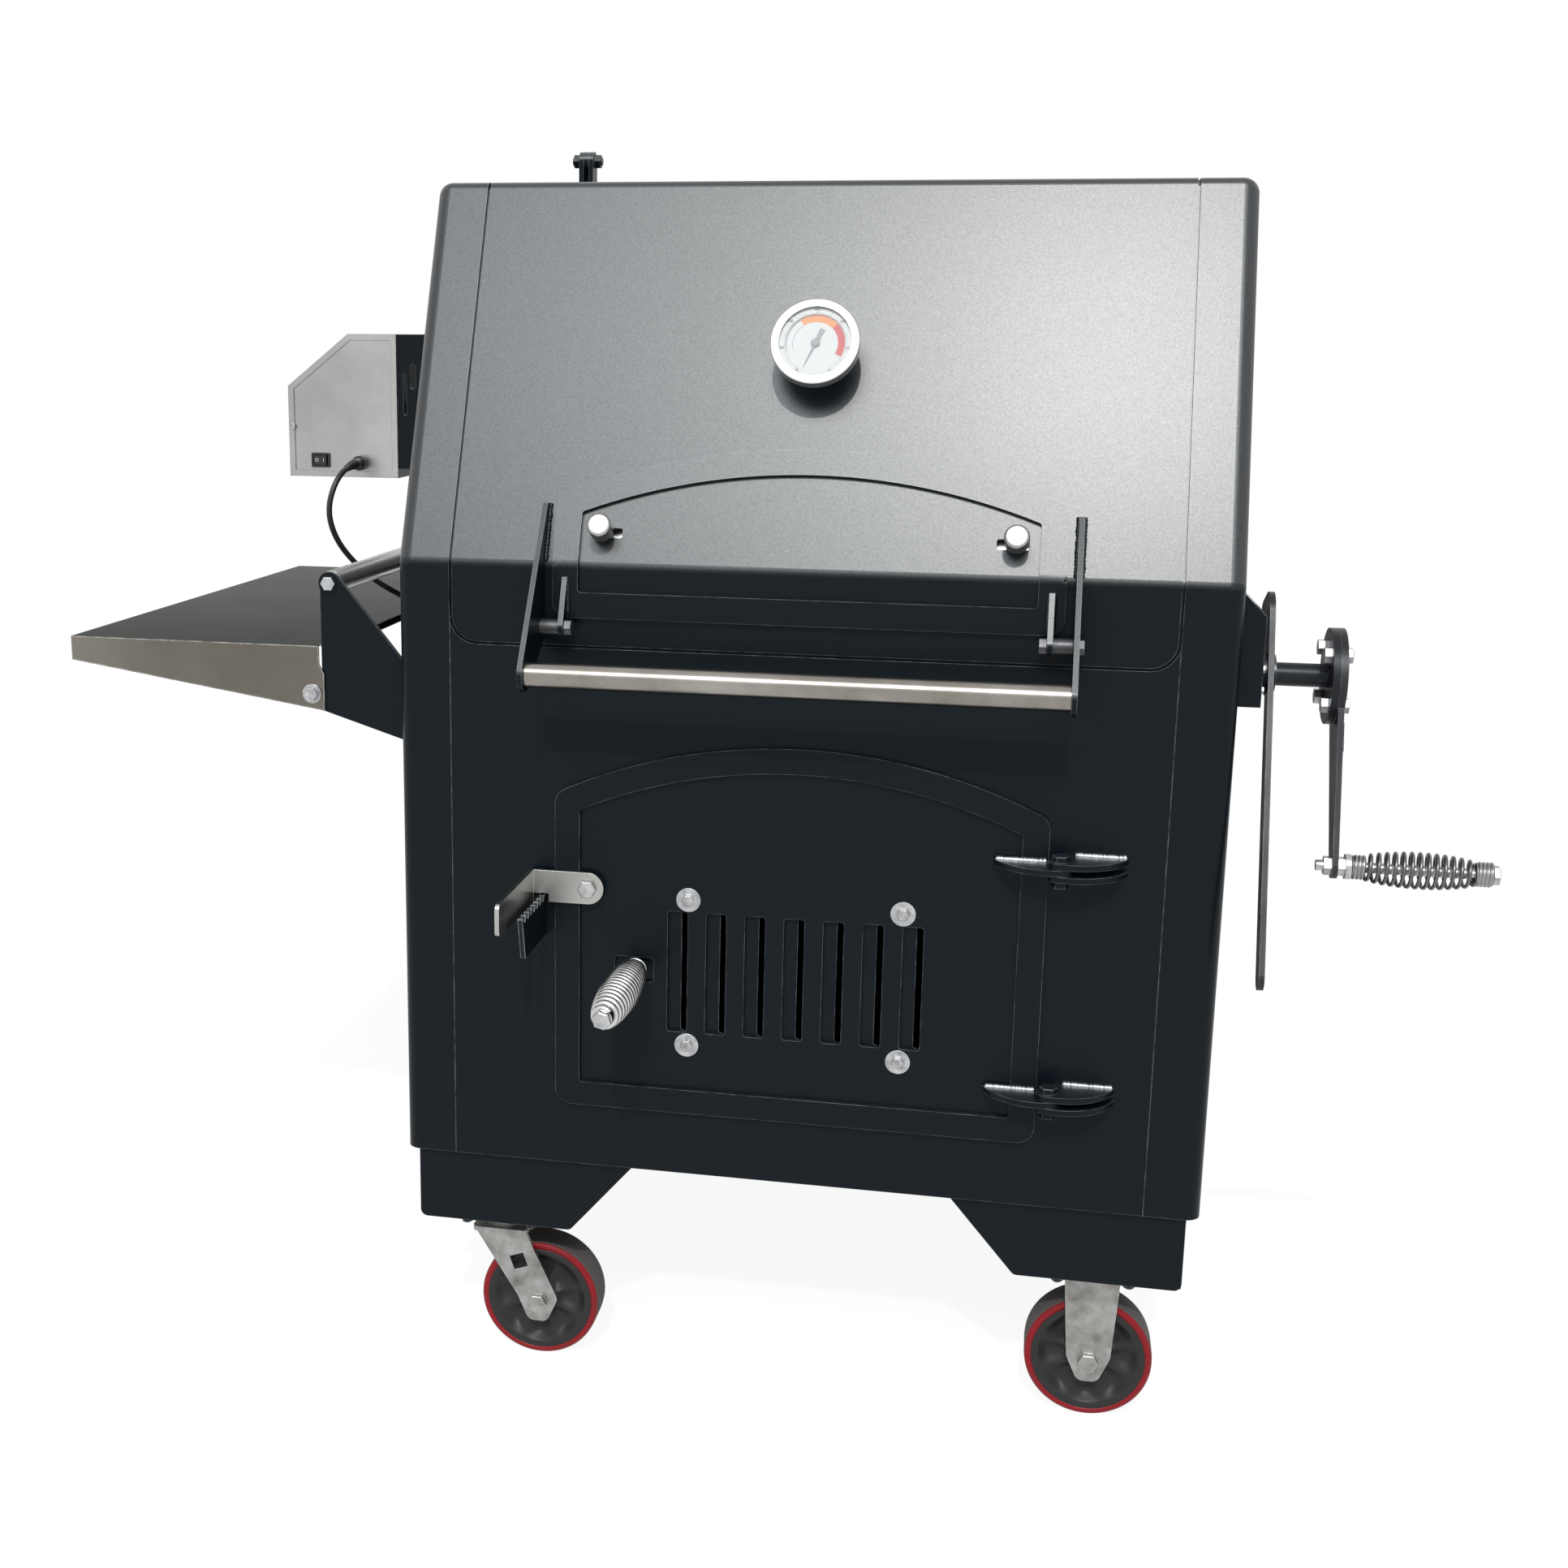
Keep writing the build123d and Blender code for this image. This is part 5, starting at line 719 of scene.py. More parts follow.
def spring_tree():
    """A barrel-shaped spring wound along +Z: turns of round wire, wider at the middle."""
    tree, given, result = new_tree(
        "Wound spring",
        [
            ("Length", "Float", 0.1),
            ("Turns", "Float", 14.0),
            ("End Radius", "Float", 0.011),
            ("Middle Radius", "Float", 0.018),
            ("Wire Radius", "Float", 0.002),
            ("Material", "Material", None),
        ],
    )
    fullness = 0.6
    spiral = add_node(
        tree, "GeometryNodeCurveSpiral", Resolution=STEPS_PER_TURN, Start_Radius=1.0, End_Radius=1.0,
        Rotations=given["Turns"], Height=given["Length"],
    )
    along = tree.nodes.new("GeometryNodeSplineParameter").outputs["Factor"]
    swell = maths(tree, "POWER", maths(tree, "SINE", maths(tree, "MULTIPLY", along, math.pi)), fullness)
    growth = maths(tree, "SUBTRACT", given["Middle Radius"], given["End Radius"])
    radius = maths(tree, "MULTIPLY_ADD", swell, growth, given["End Radius"])
    place = tree.nodes.new("GeometryNodeInputPosition").outputs["Position"]
    split = add_node(tree, "ShaderNodeSeparateXYZ", Vector=place).outputs
    widened = add_node(
        tree, "ShaderNodeCombineXYZ", X=maths(tree, "MULTIPLY", split["X"], radius),
        Y=maths(tree, "MULTIPLY", split["Y"], radius), Z=split["Z"],
    )
    line = add_node(
        tree, "GeometryNodeSetPosition", Geometry=spiral.outputs["Curve"],
        Position=widened.outputs["Vector"],
    )
    sweep_wire(tree, result, line.outputs["Geometry"], given["Wire Radius"], given["Material"])
    return tree


def weld_tree():
    """A rippled weld bead along +Z."""
    tree, given, result = new_tree(
        "Weld bead",
        [
            ("Length", "Float", 0.08),
            ("Radius", "Float", 0.003),
            ("Ripple", "Float", 0.004),
            ("Seed", "Float", 0.0),
            ("Material", "Material", None),
        ],
    )
    ripple_depth, ripple_low = 0.32, 0.80
    wander_rate, wander_depth, wander_low = 120.0, 0.6, 0.7
    end = add_node(tree, "ShaderNodeCombineXYZ", Z=given["Length"])
    straight = add_node(tree, "GeometryNodeCurvePrimitiveLine", End=end.outputs["Vector"])
    steps = maths(tree, "MULTIPLY", given["Length"], STEPS_PER_RIPPLE)
    count = maths(tree, "DIVIDE", steps, given["Ripple"])
    line = add_node(tree, "GeometryNodeResampleCurve", Curve=straight.outputs["Curve"], Count=count)
    reach = tree.nodes.new("GeometryNodeSplineParameter").outputs["Length"]
    wave = maths(tree, "FRACT", maths(tree, "DIVIDE", reach, given["Ripple"]))
    ripple = maths(tree, "MULTIPLY_ADD", maths(tree, "SQRT", wave), ripple_depth, ripple_low)
    noise = add_node(tree, "ShaderNodeTexNoise", Scale=1.0)
    noise.noise_dimensions = "1D"
    far = maths(tree, "ADD", maths(tree, "MULTIPLY", reach, wander_rate), given["Seed"])
    plug(tree, noise.inputs["W"], far)
    wander = maths(tree, "MULTIPLY_ADD", noise.outputs["Fac"], wander_depth, wander_low)
    sweep_wire(
        tree, result, line.outputs["Curve"], given["Radius"], given["Material"],
        Scale=maths(tree, "MULTIPLY", ripple, wander),
    )
    return tree


def tree_named(name):
    makers = {"Wound spring": spring_tree, "Weld bead": weld_tree}
    return bpy.data.node_groups.get(name) or makers[name]()


# ---------------------------------------------------------------- operators
class ROASTER_OT_finishes(bpy.types.Operator):
    """Give every CAD node its finish"""

    bl_idname = "roaster.finishes"
    bl_label = "Finishes"

    def execute(self, context):
        colours, sizes = context.scene.roaster_colours, context.scene.roaster_sizes
        MATERIALS.update(paint_finishes(colours, sizes))
        MATERIALS.update(sheet_finishes(colours))
        MATERIALS.update(steel_finishes(colours))
        MATERIALS.update(moulded_finishes(colours))
        MATERIALS["glass"] = gauge_glass()
        for finish_name, names in NODE_FINISH.items():
            for name in names.split():
                node = NODES[name]
                node.data.materials.clear()
                node.data.materials.append(MATERIALS[finish_name])
        return {"FINISHED"}


class ROASTER_OT_springs(bpy.types.Operator):
    """Wind the spring grips of the damper and the crank"""

    bl_idname = "roaster.springs"
    bl_label = "Spring grips"

    def execute(self, context):
        wire = context.scene.roaster_sizes.wire
        self.damper_grip(wire)
        self.crank_grip(wire)
        return {"FINISHED"}

    def damper_grip(self, wire):
        """A rod with a ring, a closely wound barrel of thick wire, a washer and a hexagonal tip."""
        rod_r, ring_bore, ring_r, ring_t = 0.005, 0.0048, 0.0138, 0.0019
        washer_r, washer_face_r, bevel = 0.0112, 0.0105, 0.0002
        hex_r, hex_t, hex_seat, chamfer_long, chamfer_deep = 0.0110, 0.0085, 0.0018, 0.0016, 0.0018
        ring_out, gap = 8 * MM, 2 * MM
        coarseness, turns, end_r, middle_r = 2.05, 18.5, 0.0134, 0.0232
        thick = coarseness * wire
        low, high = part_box("damper_handle")
        root = Vector(((low.x + high.x) / 2, high.y, (low.z + high.z) / 2))
        length = high.y - low.y
        washer = length - hex_t
        begin = root.y - DATUM.y + ring_out
        rod = turned(
            "damper_rod", root, FRONT,
            [(0, rod_r), (washer, rod_r), (washer, washer_r), (washer + ring_t, washer_r + bevel),
             (washer + ring_t + bevel, washer_face_r)],
            MATERIALS["zinc"], steps=32,
        )
        ring = turned(
            "damper_ring", root, FRONT,
            [(begin, ring_bore), (begin, ring_r), (begin + ring_t, ring_r), (begin + ring_t, ring_bore),
             (begin, ring_bore)],
            MATERIALS["wire"], steps=48,
        )
        tip = turned(
            "damper_tip", root, FRONT,
            [(washer + hex_seat, hex_r), (length - chamfer_long, hex_r), (length, hex_r - chamfer_deep)],
            MATERIALS["zinc"], steps=6,
        )
        for face in tip.data.polygons:
            face.use_smooth = False
        start = begin + gap + thick
        coil = bake(
            "damper_coil", tree_named("Wound spring"), Length=washer - start - thick, Turns=turns,
            End_Radius=end_r - thick, Middle_Radius=middle_r - thick, Wire_Radius=thick,
            Material=MATERIALS["wire"],
        )
        lay(coil, root + FRONT * start, FRONT)
        rod = join("damper_rod", [rod, ring])
        grip = join("damper_grip", [rod, tip, coil])
        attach(grip, "damper")
        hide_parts("damper_handle")

    def crank_grip(self, wire):
        """An open barrel of dark wire between two collars wound with grey wire."""
        collar_in, collar_out, bore, collar_r, bevel = 0.013, 0.019, 0.0064, 0.0128, 0.001
        wound_r, turns, end_r, middle_r = 0.0118, 13.5, 0.0115, 0.0188
        low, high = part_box("crank_grip")
        middle = (low + high) / 2
        start = Vector((low.x, middle.y, middle.z))
        length = high.x - low.x
        pieces = []
        for begin, end in ((0, collar_in), (length - collar_out, length)):
            pieces.append(
                turned(
                    "grip_collar", start, RIGHT,
                    [(begin, bore), (begin, collar_r - bevel), (begin + bevel, collar_r),
                     (end - bevel, collar_r), (end, collar_r - bevel), (end, bore), (begin, bore)],
                    MATERIALS["grey_wire"], steps=40,
                )
            )
        inner_winding, outer_winding = (0.0012, 0.0125, 3.0), (length - 0.0178, 0.0165, 4.0)
        for begin, long, rounds in (inner_winding, outer_winding):
            winding = bake(
                "grip_winding", tree_named("Wound spring"), Length=long, Turns=rounds, End_Radius=wound_r,
                Middle_Radius=wound_r, Wire_Radius=wire, Material=MATERIALS["grey_wire"],
            )
            pieces.append(lay(winding, start + RIGHT * begin, RIGHT))
        coil = bake(
            "grip_coil", tree_named("Wound spring"), Length=length - collar_in - collar_out, Turns=turns,
            End_Radius=end_r, Middle_Radius=middle_r, Wire_Radius=wire, Material=MATERIALS["dark_wire"],
        )
        pieces.append(lay(coil, start + RIGHT * collar_in, RIGHT))
        grip = join("crank_spring", pieces)
        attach(grip, "grip")
        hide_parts("crank_grip")


class ROASTER_OT_teeth(bpy.types.Operator):
    """Lay bright strips on the slanted backs of the keeper plate's teeth"""

    bl_idname = "roaster.teeth"
    bl_label = "Bare teeth"

    def execute(self, context):
        count, pitch, first, depth, strip_t = 7, 14, 23, 6, 0.2
        left, right, root = -304, -298, 627
        strips = []
        for k in range(count):
            near = -first - pitch * k
            far = near - pitch / 2
            corners = [
                at(left, far, root + depth), at(right, far, root + depth), at(right, near, root),
                at(left, near, root),
            ]
            strips.append(thin_plate(f"tooth_{k}", corners, Vector((0, 0, strip_t * MM)), "zinc"))
        teeth = join("keeper_teeth", strips)
        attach(teeth, "cabinet")
        return {"FINISHED"}


class ROASTER_OT_welds(bpy.types.Operator):
    """Lay the weld beads of the handle arms, the link arms and the fire door's hinges"""

    bl_idname = "roaster.welds"
    bl_label = "Weld beads"

    hinge_heights = (432, 706)
    seeds_apart = 7

    def execute(self, context):
        sizes = context.scene.roaster_sizes
        arm_size, link_size, leaf_size = 1.15, 1.0, 1.35
        door_leaf = self.leaf_beads(left=228, right=284, out=-7.5, lift=3.5)
        wall_leaf = self.leaf_beads(left=316, right=372, out=-1, lift=10.9)
        groups = {
            "lid": ("painted_weld", "black_paint", self.arm_beads(), arm_size),
            "lid_door": ("painted_weld", "black_paint", self.link_beads(), link_size),
            "fire_door": ("weld", "zinc_plate", door_leaf, leaf_size),
            "cabinet": ("weld", "zinc_plate", wall_leaf, leaf_size),
        }
        for body, (material, slot, lines, size) in groups.items():
            beads = []
            for k, (start, end) in enumerate(lines):
                bead = bake(
                    "bead", tree_named("Weld bead"), Length=(end - start).length,
                    Radius=sizes.bead * size, Ripple=sizes.ripple, Seed=float(self.seeds_apart * k),
                    Material=MATERIALS[material],
                )
                beads.append(lay(bead, start, end - start))
            piece = join(body + "_welds", beads)
            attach(piece, body)
        return {"FINISHED"}

    def arm_beads(self):
        """Along both edges of each handle arm, on the slanted face."""
        plate, low, high = 6, 4, 73
        outer = (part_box("handle_arms")[1].x - DATUM.x) / MM
        places = [side * x for side in (-1, 1) for x in (outer, outer - plate)]
        return [(on_slope(x, low), on_slope(x, high)) for x in places]

    def link_beads(self):
        """Along both edges of each link arm, on the loading door's ring."""
        out, low, high, inner, outer = -6.5, 972, 1010, 272, 278
        places = [side * x for side in (-1, 1) for x in (inner, outer)]
        return [(at(x, out, low), at(x, out, high)) for x in places]

    def leaf_beads(self, left, right, out, lift):
        """Along one edge of each hinge's leaf."""
        return [(at(left, out, z + lift), at(right, out, z + lift)) for z in self.hinge_heights]


class ROASTER_OT_gauge(bpy.types.Operator):
    """Mark the gauge's dial with ticks, a hot band and plain numbers"""

    bl_idname = "roaster.gauge"
    bl_label = "Gauge dial"

    up = 254.5
    ring_out, well_out, needle_out = 49.0, 46.0, 47.9
    ink_t = 0.0002

    def execute(self, context):
        ring, well = on_slope(0, self.up, self.ring_out), on_slope(0, self.up, self.well_out)
        first, sweep, spans, spans_per_number = 240, 300, 60, 5
        tick_in, tick_out, tick_w, long_out, long_w = 0.0343, 0.0358, 0.00035, 0.0368, 0.0006
        ticks = []
        for k in range(spans + 1):
            long = k % spans_per_number == 0
            ticks.append(
                self.tick(
                    f"tick_{k}", ring, math.radians(first - sweep * k / spans), tick_in,
                    long_out if long else tick_out, long_w if long else tick_w,
                )
            )
        marks = join("dial_ticks", ticks)
        band_in, band_out, line = 0.0255, 0.0332, 0.0006
        cold, warm, hot, hottest = 200, 124, 45, -28
        bands = [
            self.arc(well, hot, hottest, band_in, band_out, "red"),
            self.arc(well, warm, hot, band_in, band_out, "orange"),
            self.arc(well, cold, warm, band_out - line, band_out, "grey_ink"),
            self.arc(well, cold, warm, band_in, band_in + line, "grey_ink"),
        ]
        shown, value_step = 7, 100
        turn = sweep / (shown - 1)
        numbers = [self.number(str(value_step * (k + 1)), ring, first - turn * k) for k in range(shown)]
        dial = join("dial_marks", [marks, *bands, *numbers])
        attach(dial, "lid")
        cap_profile = [(0, 0.0048), (0.0007, 0.0046), (0.0011, 0.0034), (0.0012, 0.001)]
        cap = turned(
            "needle_cap", on_slope(0, self.up, self.needle_out), OFF_SLOPE, cap_profile,
            MATERIALS["grey_ink"], steps=32,
        )
        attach(cap, "needle")
        return {"FINISHED"}

    def spot(self, face, radius, angle, aside=0.0, lift=0.0):
        """A place on the dial at a radius and an angle, moved aside across that spoke and lifted."""
        x = radius * math.cos(angle) - aside * math.sin(angle)
        y = radius * math.sin(angle) + aside * math.cos(angle)
        return face + RIGHT * x + UP_SLOPE * y + OFF_SLOPE * lift

    def tick(self, name, face, angle, inner, outer, width):
        half = width / 2
        corners = [
            self.spot(face, radius, angle, aside)
            for radius, aside in ((inner, -half), (outer, -half), (outer, half), (inner, half))
        ]
        return thin_plate(name, corners, OFF_SLOPE * self.ink_t, "ink")

    def arc(self, face, start, end, inner, outer, material):
        """A thin band of the dial, clockwise from one angle to another in degrees."""
        steps = 48
        vertices = [
            self.spot(face, radius, math.radians(start + (end - start) * k / steps), lift=lift)
            for lift in (0.0, self.ink_t)
            for k in range(steps + 1)
            for radius in (inner, outer)
        ]
        top, last = 2 * (steps + 1), 2 * steps
        faces = [(0, top, top + 1, 1), (last, last + 1, top + last + 1, top + last)]
        for a in range(0, last, 2):
            faces.append((a, a + 1, a + 3, a + 2))
            faces.append((top + a, top + a + 2, top + a + 3, top + a + 1))
            faces.append((a, a + 2, top + a + 2, top + a))
            faces.append((a + 1, top + a + 1, top + a + 3, a + 3))
        return mesh_piece("dial_band", vertices, faces, MATERIALS[material], smooth=False)

    def number(self, text, face, degrees):
        radius, size, thickness = 0.0389, 0.0042, 0.0001
        piece = letters("number", text, size, thickness, "ink")
        return lay(piece, self.spot(face, radius, math.radians(degrees), lift=self.ink_t), OFF_SLOPE, RIGHT)


class ROASTER_OT_wheels(bpy.types.Operator):
    """Build the red wheels with their moulded centres and dusty treads"""

    bl_idname = "roaster.wheels"
    bl_label = "Wheels"

    names = ("front_left_wheel", "rear_left_wheel", "front_right_wheel", "rear_right_wheel")
    tyre_t, flank_in = 0.0085, 0.001
    # The tyre's edge: how far in from the wheel's side, and from its rolling face.
    edge = ((flank_in, 0.003), (0.0035, 0.0004), (0.009, 0.0))
    bore, hub, ribs = 0.0083, 0.0195, 8
    around, rings = 160, 26

    def execute(self, context):
        for name in self.names:
            self.wheel(name)
        return {"FINISHED"}

    def wheel(self, name):
        low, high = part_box(name)
        middle = (low + high) / 2
        radius, half = (high.z - low.z) / 2, (high.y - low.y) / 2
        rim = radius - self.tyre_t
        side = [(half - self.flank_in, rim)] + [(half - a, radius - b) for a, b in self.edge]
        other_side = [(-along, out) for along, out in side]
        red, dusty = 0, 1
        tyre = turned(
            name + "_tyre", middle, FRONT, [*other_side, *reversed(side), other_side[0]],
            MATERIALS["wheel"], MATERIALS["tread"], steps=96,
            face_materials=[red, red, dusty, dusty, dusty, red, red, red],
        )
        piece = join(name + "_moulding", [tyre, self.core(name, middle, rim, half)])
        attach(piece, name)
        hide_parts(name)

    def core(self, name, middle, rim, half):
        """Both faces of the wheel's centre as heights over angle and radius, joined at bore and rim."""
        vertices = []
        for side in (-1, 1):
            for i in range(self.rings + 1):
                r = self.bore + (rim - self.bore) * i / self.rings
                for k in range(self.around):
                    angle = math.tau * k / self.around
                    height = half - self.depth(r, angle, rim)
                    vertices.append(
                        middle + Vector((r * math.cos(angle), side * height, r * math.sin(angle)))
                    )
        back = self.around * (self.rings + 1)
        outer = self.around * self.rings
        faces = []
        for first in range(0, outer, self.around):
            faces += ring_quads(first + self.around, first, self.around)
            faces += ring_quads(back + first, back + first + self.around, self.around)
        faces += ring_quads(0, back, self.around)
        faces += ring_quads(back + outer, outer, self.around)
        return mesh_piece(name + "_centre", vertices, faces, MATERIALS["core"])

    def depth(self, r, angle, rim):
        """How far the face lies below the wheel's side: hub and rim flush, petals sunk between ribs."""
        rim_band, rim_drop, dish_depth, petal_depth, roundness = 0.007, 0.0008, 0.0065, 0.0062, 0.7
        inner_rise, outer_rise = 5, 4
        if r <= self.hub:
            return 0.0
        across = (r - self.hub) / (rim - rim_band - self.hub)
        if across >= 1:
            return rim_drop
        dish = dish_depth * math.sin(math.pi * across) ** roundness
        wave = 0.5 + 0.5 * math.cos(self.ribs * angle)
        petal = petal_depth * wave**roundness * min(1, inner_rise * across, outer_rise * (1 - across))
        return dish + petal


class ROASTER_OT_switch(bpy.types.Operator):
    """Mark the rocker switch with its I and O"""

    bl_idname = "roaster.switch"
    bl_label = "Switch marks"

    rest_tilt = math.radians(6)
    face_rise, face_run = 1.9, 9.2
    face_tilt = math.atan2(face_rise, face_run)
    face_middle, face_out, clear = 4.8, 5.6, 0.1
    mark_size, mark_t = 0.0065, 0.00025

    def execute(self, context):
        marks = []
        for text, side in (("O", -1), ("I", 1)):
            mark = letters("switch_" + text, text, self.mark_size, self.mark_t, "white_mark")
            tilt = self.rest_tilt + side * self.face_tilt
            out = Vector((-math.sin(tilt), -math.cos(tilt), 0))
            across = Vector((math.cos(tilt), -math.sin(tilt), 0))
            marks.append(lay(mark, self.surface(side), out, across))
        piece = join("switch_marks", marks)
        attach(piece, "rocker")
        return {"FINISHED"}

    def surface(self, side):
        """The middle of the rocker's left or right face, on its tilted front."""
        pivot = joint_place("rocker_pivot")
        middle = Vector((pivot.x, pivot.y, centre("rocker").z))
        face = Vector((side * self.face_middle, -self.face_out, 0)) * MM
        return middle + Matrix.Rotation(-self.rest_tilt, 3, "Z") @ face + FRONT * self.clear * MM


class ROASTER_OT_cord(bpy.types.Operator):
    """Lay the mains cord from its gland to the coil and plug, with its tapered sleeve"""

    bl_idname = "roaster.cord"
    bl_label = "Mains cord"

    # The hanging stretch, listed in millimetres from the datum.
    route = (
        (-628, 277.5, 1117), (-630, 247, 1115), (-638, 222, 1094), (-646, 218, 1060), (-644, 237, 1024),
        (-632, 268, 990), (-608, 305, 956), (-576, 342, 930), (-552, 372, 888), (-541, 396, 836),
        (-536, 418, 768), (-534, 440, 690), (-535, 463, 606), (-537, 487, 516), (-539, 512, 426),
        (-540, 540, 338), (-541, 571, 254), (-541, 607, 178), (-539, 648, 114), (-535, 688, 68),
        (-532, 720, 36), (-530, 749, 14), (-531, 773, 4.25),
    )

    def execute(self, context):
        sizes = context.scene.roaster_sizes
        points = [at(*p) for p in self.route] + self.coil_points(sizes.cord)
        curve = bpy.data.curves.new("cord", "CURVE")
        curve.dimensions = "3D"
        spline = curve.splines.new("NURBS")
        spline.points.add(len(points) - 1)
        for point, place in zip(spline.points, points):
            point.co = (*place, 1)
        spline.order_u = 3
        spline.use_endpoint_u = True
        spline.resolution_u = 8
        line = self.centreline(curve)
        curve.bevel_depth = sizes.cord / 2
        curve.bevel_resolution = 5
        curve.use_fill_caps = True
        curve.materials.append(MATERIALS["cord"])
        cord = show("mains_cord", curve)
        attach(cord, "cabinet")
        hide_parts("cord", "cord_coil")
        self.sleeve(line, sizes)
        return {"FINISHED"}

    def coil_points(self, diameter):
        """Two lower turns side by side and part of a third on top, leaving towards the plug."""
        steps_per_turn, packing, plug_depth = 24, 0.85, 4 * MM
        outward, inward, upward = (0.0, 0.15), (0.9, 1.12), (1.88, 2.12)
        low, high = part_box("cord_coil")
        middle = (low + high) / 2
        ring = (high.x - low.x) / 2 - diameter
        start, end = math.radians(-28), math.radians(360 * 2 + 90)
        count = round((end - start) / math.tau * steps_per_turn)
        floor = low.z + diameter / 2
        points = []
        for k in range(1, count + 1):
            angle = start + (end - start) * k / count
            turn = angle / math.tau
            outer = self.ease(turn, *outward)
            inner = self.ease(turn, *inward)
            top = self.ease(turn, *upward)
            radius = ring + diameter / 2 * (outer - 2 * inner + top)
            height = floor + packing * diameter * top
            points.append(
                Vector((middle.x + radius * math.cos(angle), middle.y + radius * math.sin(angle), height))
            )
        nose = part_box("plug")[1].x
        last = points[-1]
        points.append(Vector(((last.x + nose) / 2, last.y, height)))
        points.append(Vector((nose - plug_depth, last.y, centre("plug").z)))
        return points

    def ease(self, value, start, end):
        """0 before the start, 1 past the end, and smooth between them."""
        t = min(1, max(0, (value - start) / (end - start)))
        return t * t * (3 - 2 * t)

    def centreline(self, curve):
        """Places along the cord's smooth line, in order."""
        mesh = plain_mesh(show("bare_line", curve.copy()))
        line = [v.co.copy() for v in mesh.vertices]
        bpy.data.meshes.remove(mesh)
        return line

    def sleeve(self, line, sizes):
        """A tapered, grooved sleeve on the cord's first stretch."""
        steps, around = 36, 24
        wall, taper, groove = 0.0006, 0.0026, 0.0009
        first_groove, last_groove = 0.12, 0.92
        vertices = []
        travelled, here = 0.0, 0
        for i in range(steps + 1):
            target = sizes.relief * i / steps
            while here < len(line) - 2 and travelled + (line[here + 1] - line[here]).length < target:
                travelled += (line[here + 1] - line[here]).length
                here += 1
            along = (line[here + 1] - line[here]).normalized()
            place = line[here] + along * (target - travelled)
            across = (RIGHT - along * RIGHT.dot(along)).normalized()
            up = along.cross(across)
            t = i / steps
            radius = sizes.cord / 2 + taper * (1 - t) + wall
            if first_groove < t < last_groove and (i // 2) % 2:
                radius -= groove
            for k in range(around):
                angle = math.tau * k / around
                vertices.append(place + (across * math.cos(angle) + up * math.sin(angle)) * radius)
        faces = [quad for i in range(steps) for quad in ring_quads(i * around, (i + 1) * around, around)]
        faces.append(tuple(reversed(range(around))))
        faces.append(tuple(steps * around + k for k in range(around)))
        piece = mesh_piece("strain_relief", vertices, faces, MATERIALS["plastic"])
        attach(piece, "cabinet")


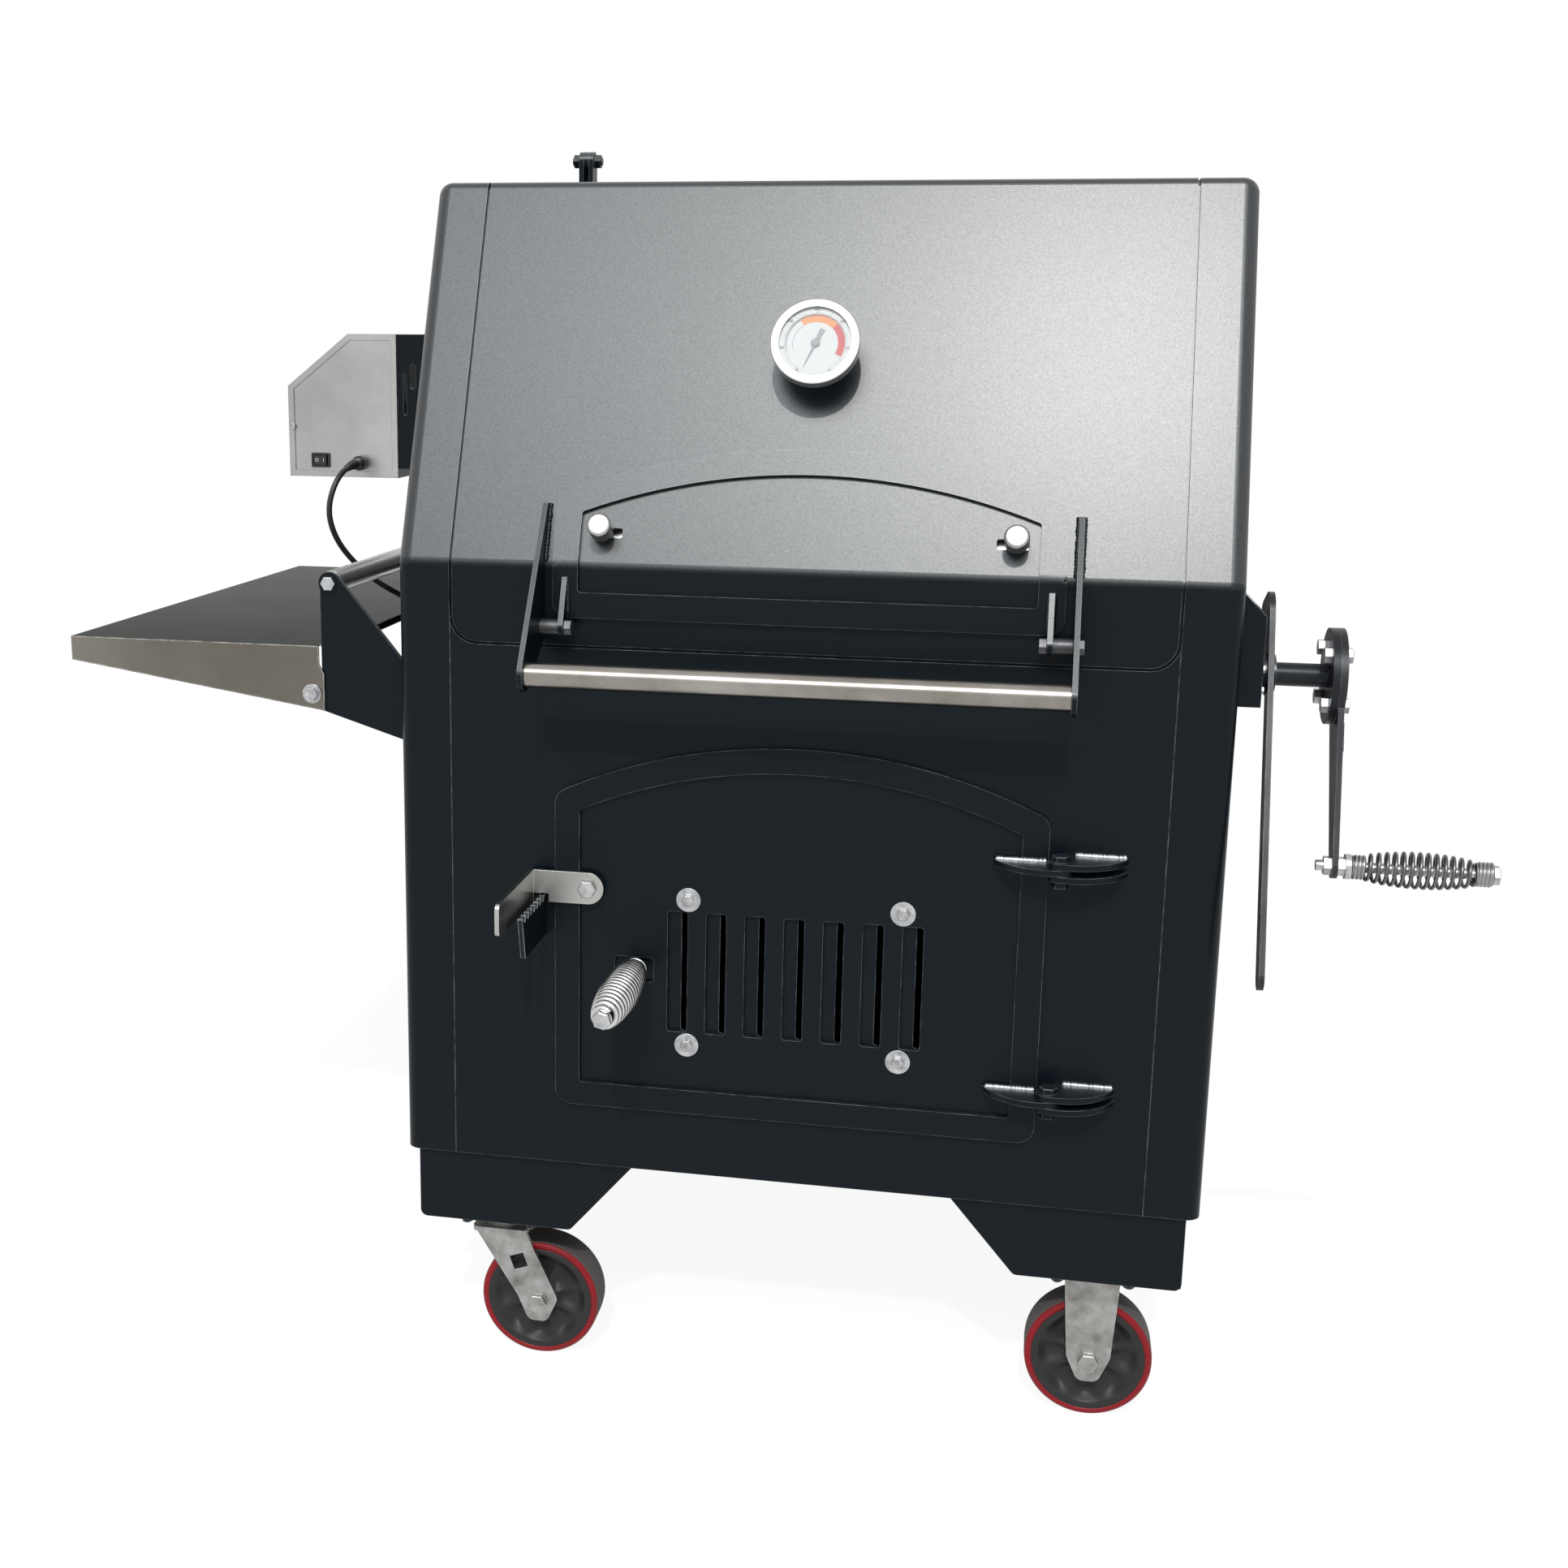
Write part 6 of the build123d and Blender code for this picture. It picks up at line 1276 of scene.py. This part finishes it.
class ROASTER_OT_stage(bpy.types.Operator):
    """Set the floor, sky, lamps and camera"""

    bl_idname = "roaster.stage"
    bl_label = "Stage"

    def execute(self, context):
        context.scene.view_settings.view_transform = "Standard"
        self.floor()
        self.sky(context.scene)
        self.sun()
        self.softbox()
        self.camera(context.scene)
        return {"FINISHED"}

    def seen(self, tree):
        """1 for rays that show the backdrop: from the camera, a mirror-like face or through glass."""
        path = tree.nodes.new("ShaderNodeLightPath").outputs
        direct = maths(tree, "MAXIMUM", path["Is Camera Ray"], path["Is Glossy Ray"])
        return maths(tree, "MAXIMUM", direct, path["Is Transmission Ray"])

    def floor(self):
        """A wide pale floor that glows for the backdrop's rays, and yet keeps a faint shadow."""
        reach, glow_share, glow_strength = 30, 0.80, 1.15
        corners = [(-reach, -reach, 0), (reach, -reach, 0), (reach, reach, 0), (-reach, reach, 0)]
        floor = mesh_piece("floor", corners, [(0, 1, 2, 3)], smooth=False)
        material = bpy.data.materials.new("White floor")
        material.use_nodes = True
        tree = material.node_tree
        shader = tree.nodes["Principled BSDF"]
        shader.inputs["Base Color"].default_value = (0.8, 0.8, 0.8, 1)
        shader.inputs["Roughness"].default_value = 0.9
        shader.inputs["Specular IOR Level"].default_value = 0.0
        glow = add_node(tree, "ShaderNodeEmission", Strength=glow_strength)
        share = maths(tree, "MULTIPLY", self.seen(tree), glow_share)
        mix = add_node(tree, "ShaderNodeMixShader", Fac=share)
        tree.links.new(shader.outputs["BSDF"], mix.inputs[1])
        tree.links.new(glow.outputs["Emission"], mix.inputs[2])
        tree.links.new(mix.outputs["Shader"], tree.nodes["Material Output"].inputs["Surface"])
        floor.data.materials.append(material)

    def sky(self, scene):
        """A plain white sky that lights the roaster at a part of the strength it is seen with."""
        lit, shown = 0.28, 1.0
        world = bpy.data.worlds.new("Pale sky")
        world.use_nodes = True
        scene.world = world
        tree = world.node_tree
        back = tree.nodes["Background"]
        back.inputs["Color"].default_value = (1, 1, 1, 1)
        plug(tree, back.inputs["Strength"], ranged(tree, self.seen(tree), 0.0, 1.0, lit, shown))

    def lamp(self, name, kind, energy, colour, ray, place=(0, 0, 0)):
        """A lamp of that kind, colour and strength that shines along a ray."""
        lamp = bpy.data.lights.new(name, kind)
        lamp.energy = energy
        lamp.color = colour
        turn = ray.to_track_quat("-Z", "Y").to_matrix().to_4x4()
        show(name, lamp).matrix_world = Matrix.Translation(place) @ turn
        return lamp

    def sun(self):
        ray = Vector((-0.04, 0.715, -0.70))
        lamp = self.lamp("sun", "SUN", energy=1.2, colour=(1.0, 0.975, 0.94), ray=ray)
        lamp.angle = math.radians(1.0)

    def softbox(self):
        """A broad lamp in front and above, square to the lid's slanted face as it mirrors the camera."""
        aim, away = on_slope(0, 240), 6
        ray = Vector((0.02, 0.725, -0.685)).normalized()
        lamp = self.lamp(
            "softbox", "AREA", energy=215, colour=(0.90, 0.97, 1.0), ray=ray, place=aim - ray * away
        )
        lamp.shape = "RECTANGLE"
        lamp.size = 5.4
        lamp.size_y = 2.6

    def camera(self, scene):
        eye = at(258, -2179.2, 1289.2)
        lens = bpy.data.cameras.new("camera")
        lens.sensor_width = 36
        lens.lens = 44.715
        lens.shift_x = 0.0922
        lens.shift_y = -0.0166
        right = Vector((0.9794, 0.2018, 0.00835)).normalized()
        ahead = Vector((-0.1954, 0.9572, -0.2135)).normalized()
        up = right.cross(ahead)
        turn = Matrix((ahead.cross(up), up, -ahead)).transposed().to_4x4()
        scene.camera = show("camera", lens)
        scene.camera.matrix_world = Matrix.Translation(eye) @ turn


class ROASTER_PT_panel(bpy.types.Panel):
    """The roaster's settings and pieces"""

    bl_idname = "ROASTER_PT_panel"
    bl_label = "Rotisserie roaster"
    bl_space_type = "VIEW_3D"
    bl_region_type = "UI"
    bl_category = "Roaster"

    def draw(self, context):
        for group in (context.scene.roaster_sizes, context.scene.roaster_colours):
            for name in group.__annotations__:
                self.layout.prop(group, name)
        for piece in PIECES:
            self.layout.operator(piece.bl_idname)


PIECES = (
    ROASTER_OT_finishes,
    ROASTER_OT_springs,
    ROASTER_OT_teeth,
    ROASTER_OT_welds,
    ROASTER_OT_gauge,
    ROASTER_OT_wheels,
    ROASTER_OT_switch,
    ROASTER_OT_cord,
    ROASTER_OT_stage,
)
CLASSES = (RoasterSizes, RoasterColours, *PIECES, ROASTER_PT_panel)


def register():
    for cls in CLASSES:
        bpy.utils.register_class(cls)
    bpy.types.Scene.roaster_sizes = bpy.props.PointerProperty(type=RoasterSizes)
    bpy.types.Scene.roaster_colours = bpy.props.PointerProperty(type=RoasterColours)


def unregister():
    del bpy.types.Scene.roaster_colours
    del bpy.types.Scene.roaster_sizes
    for cls in reversed(CLASSES):
        bpy.utils.unregister_class(cls)


def main():
    register()
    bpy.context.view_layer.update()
    for piece in PIECES:
        group, name = piece.bl_idname.split(".")
        getattr(getattr(bpy.ops, group), name)()


if __name__ == "__main__":
    main()
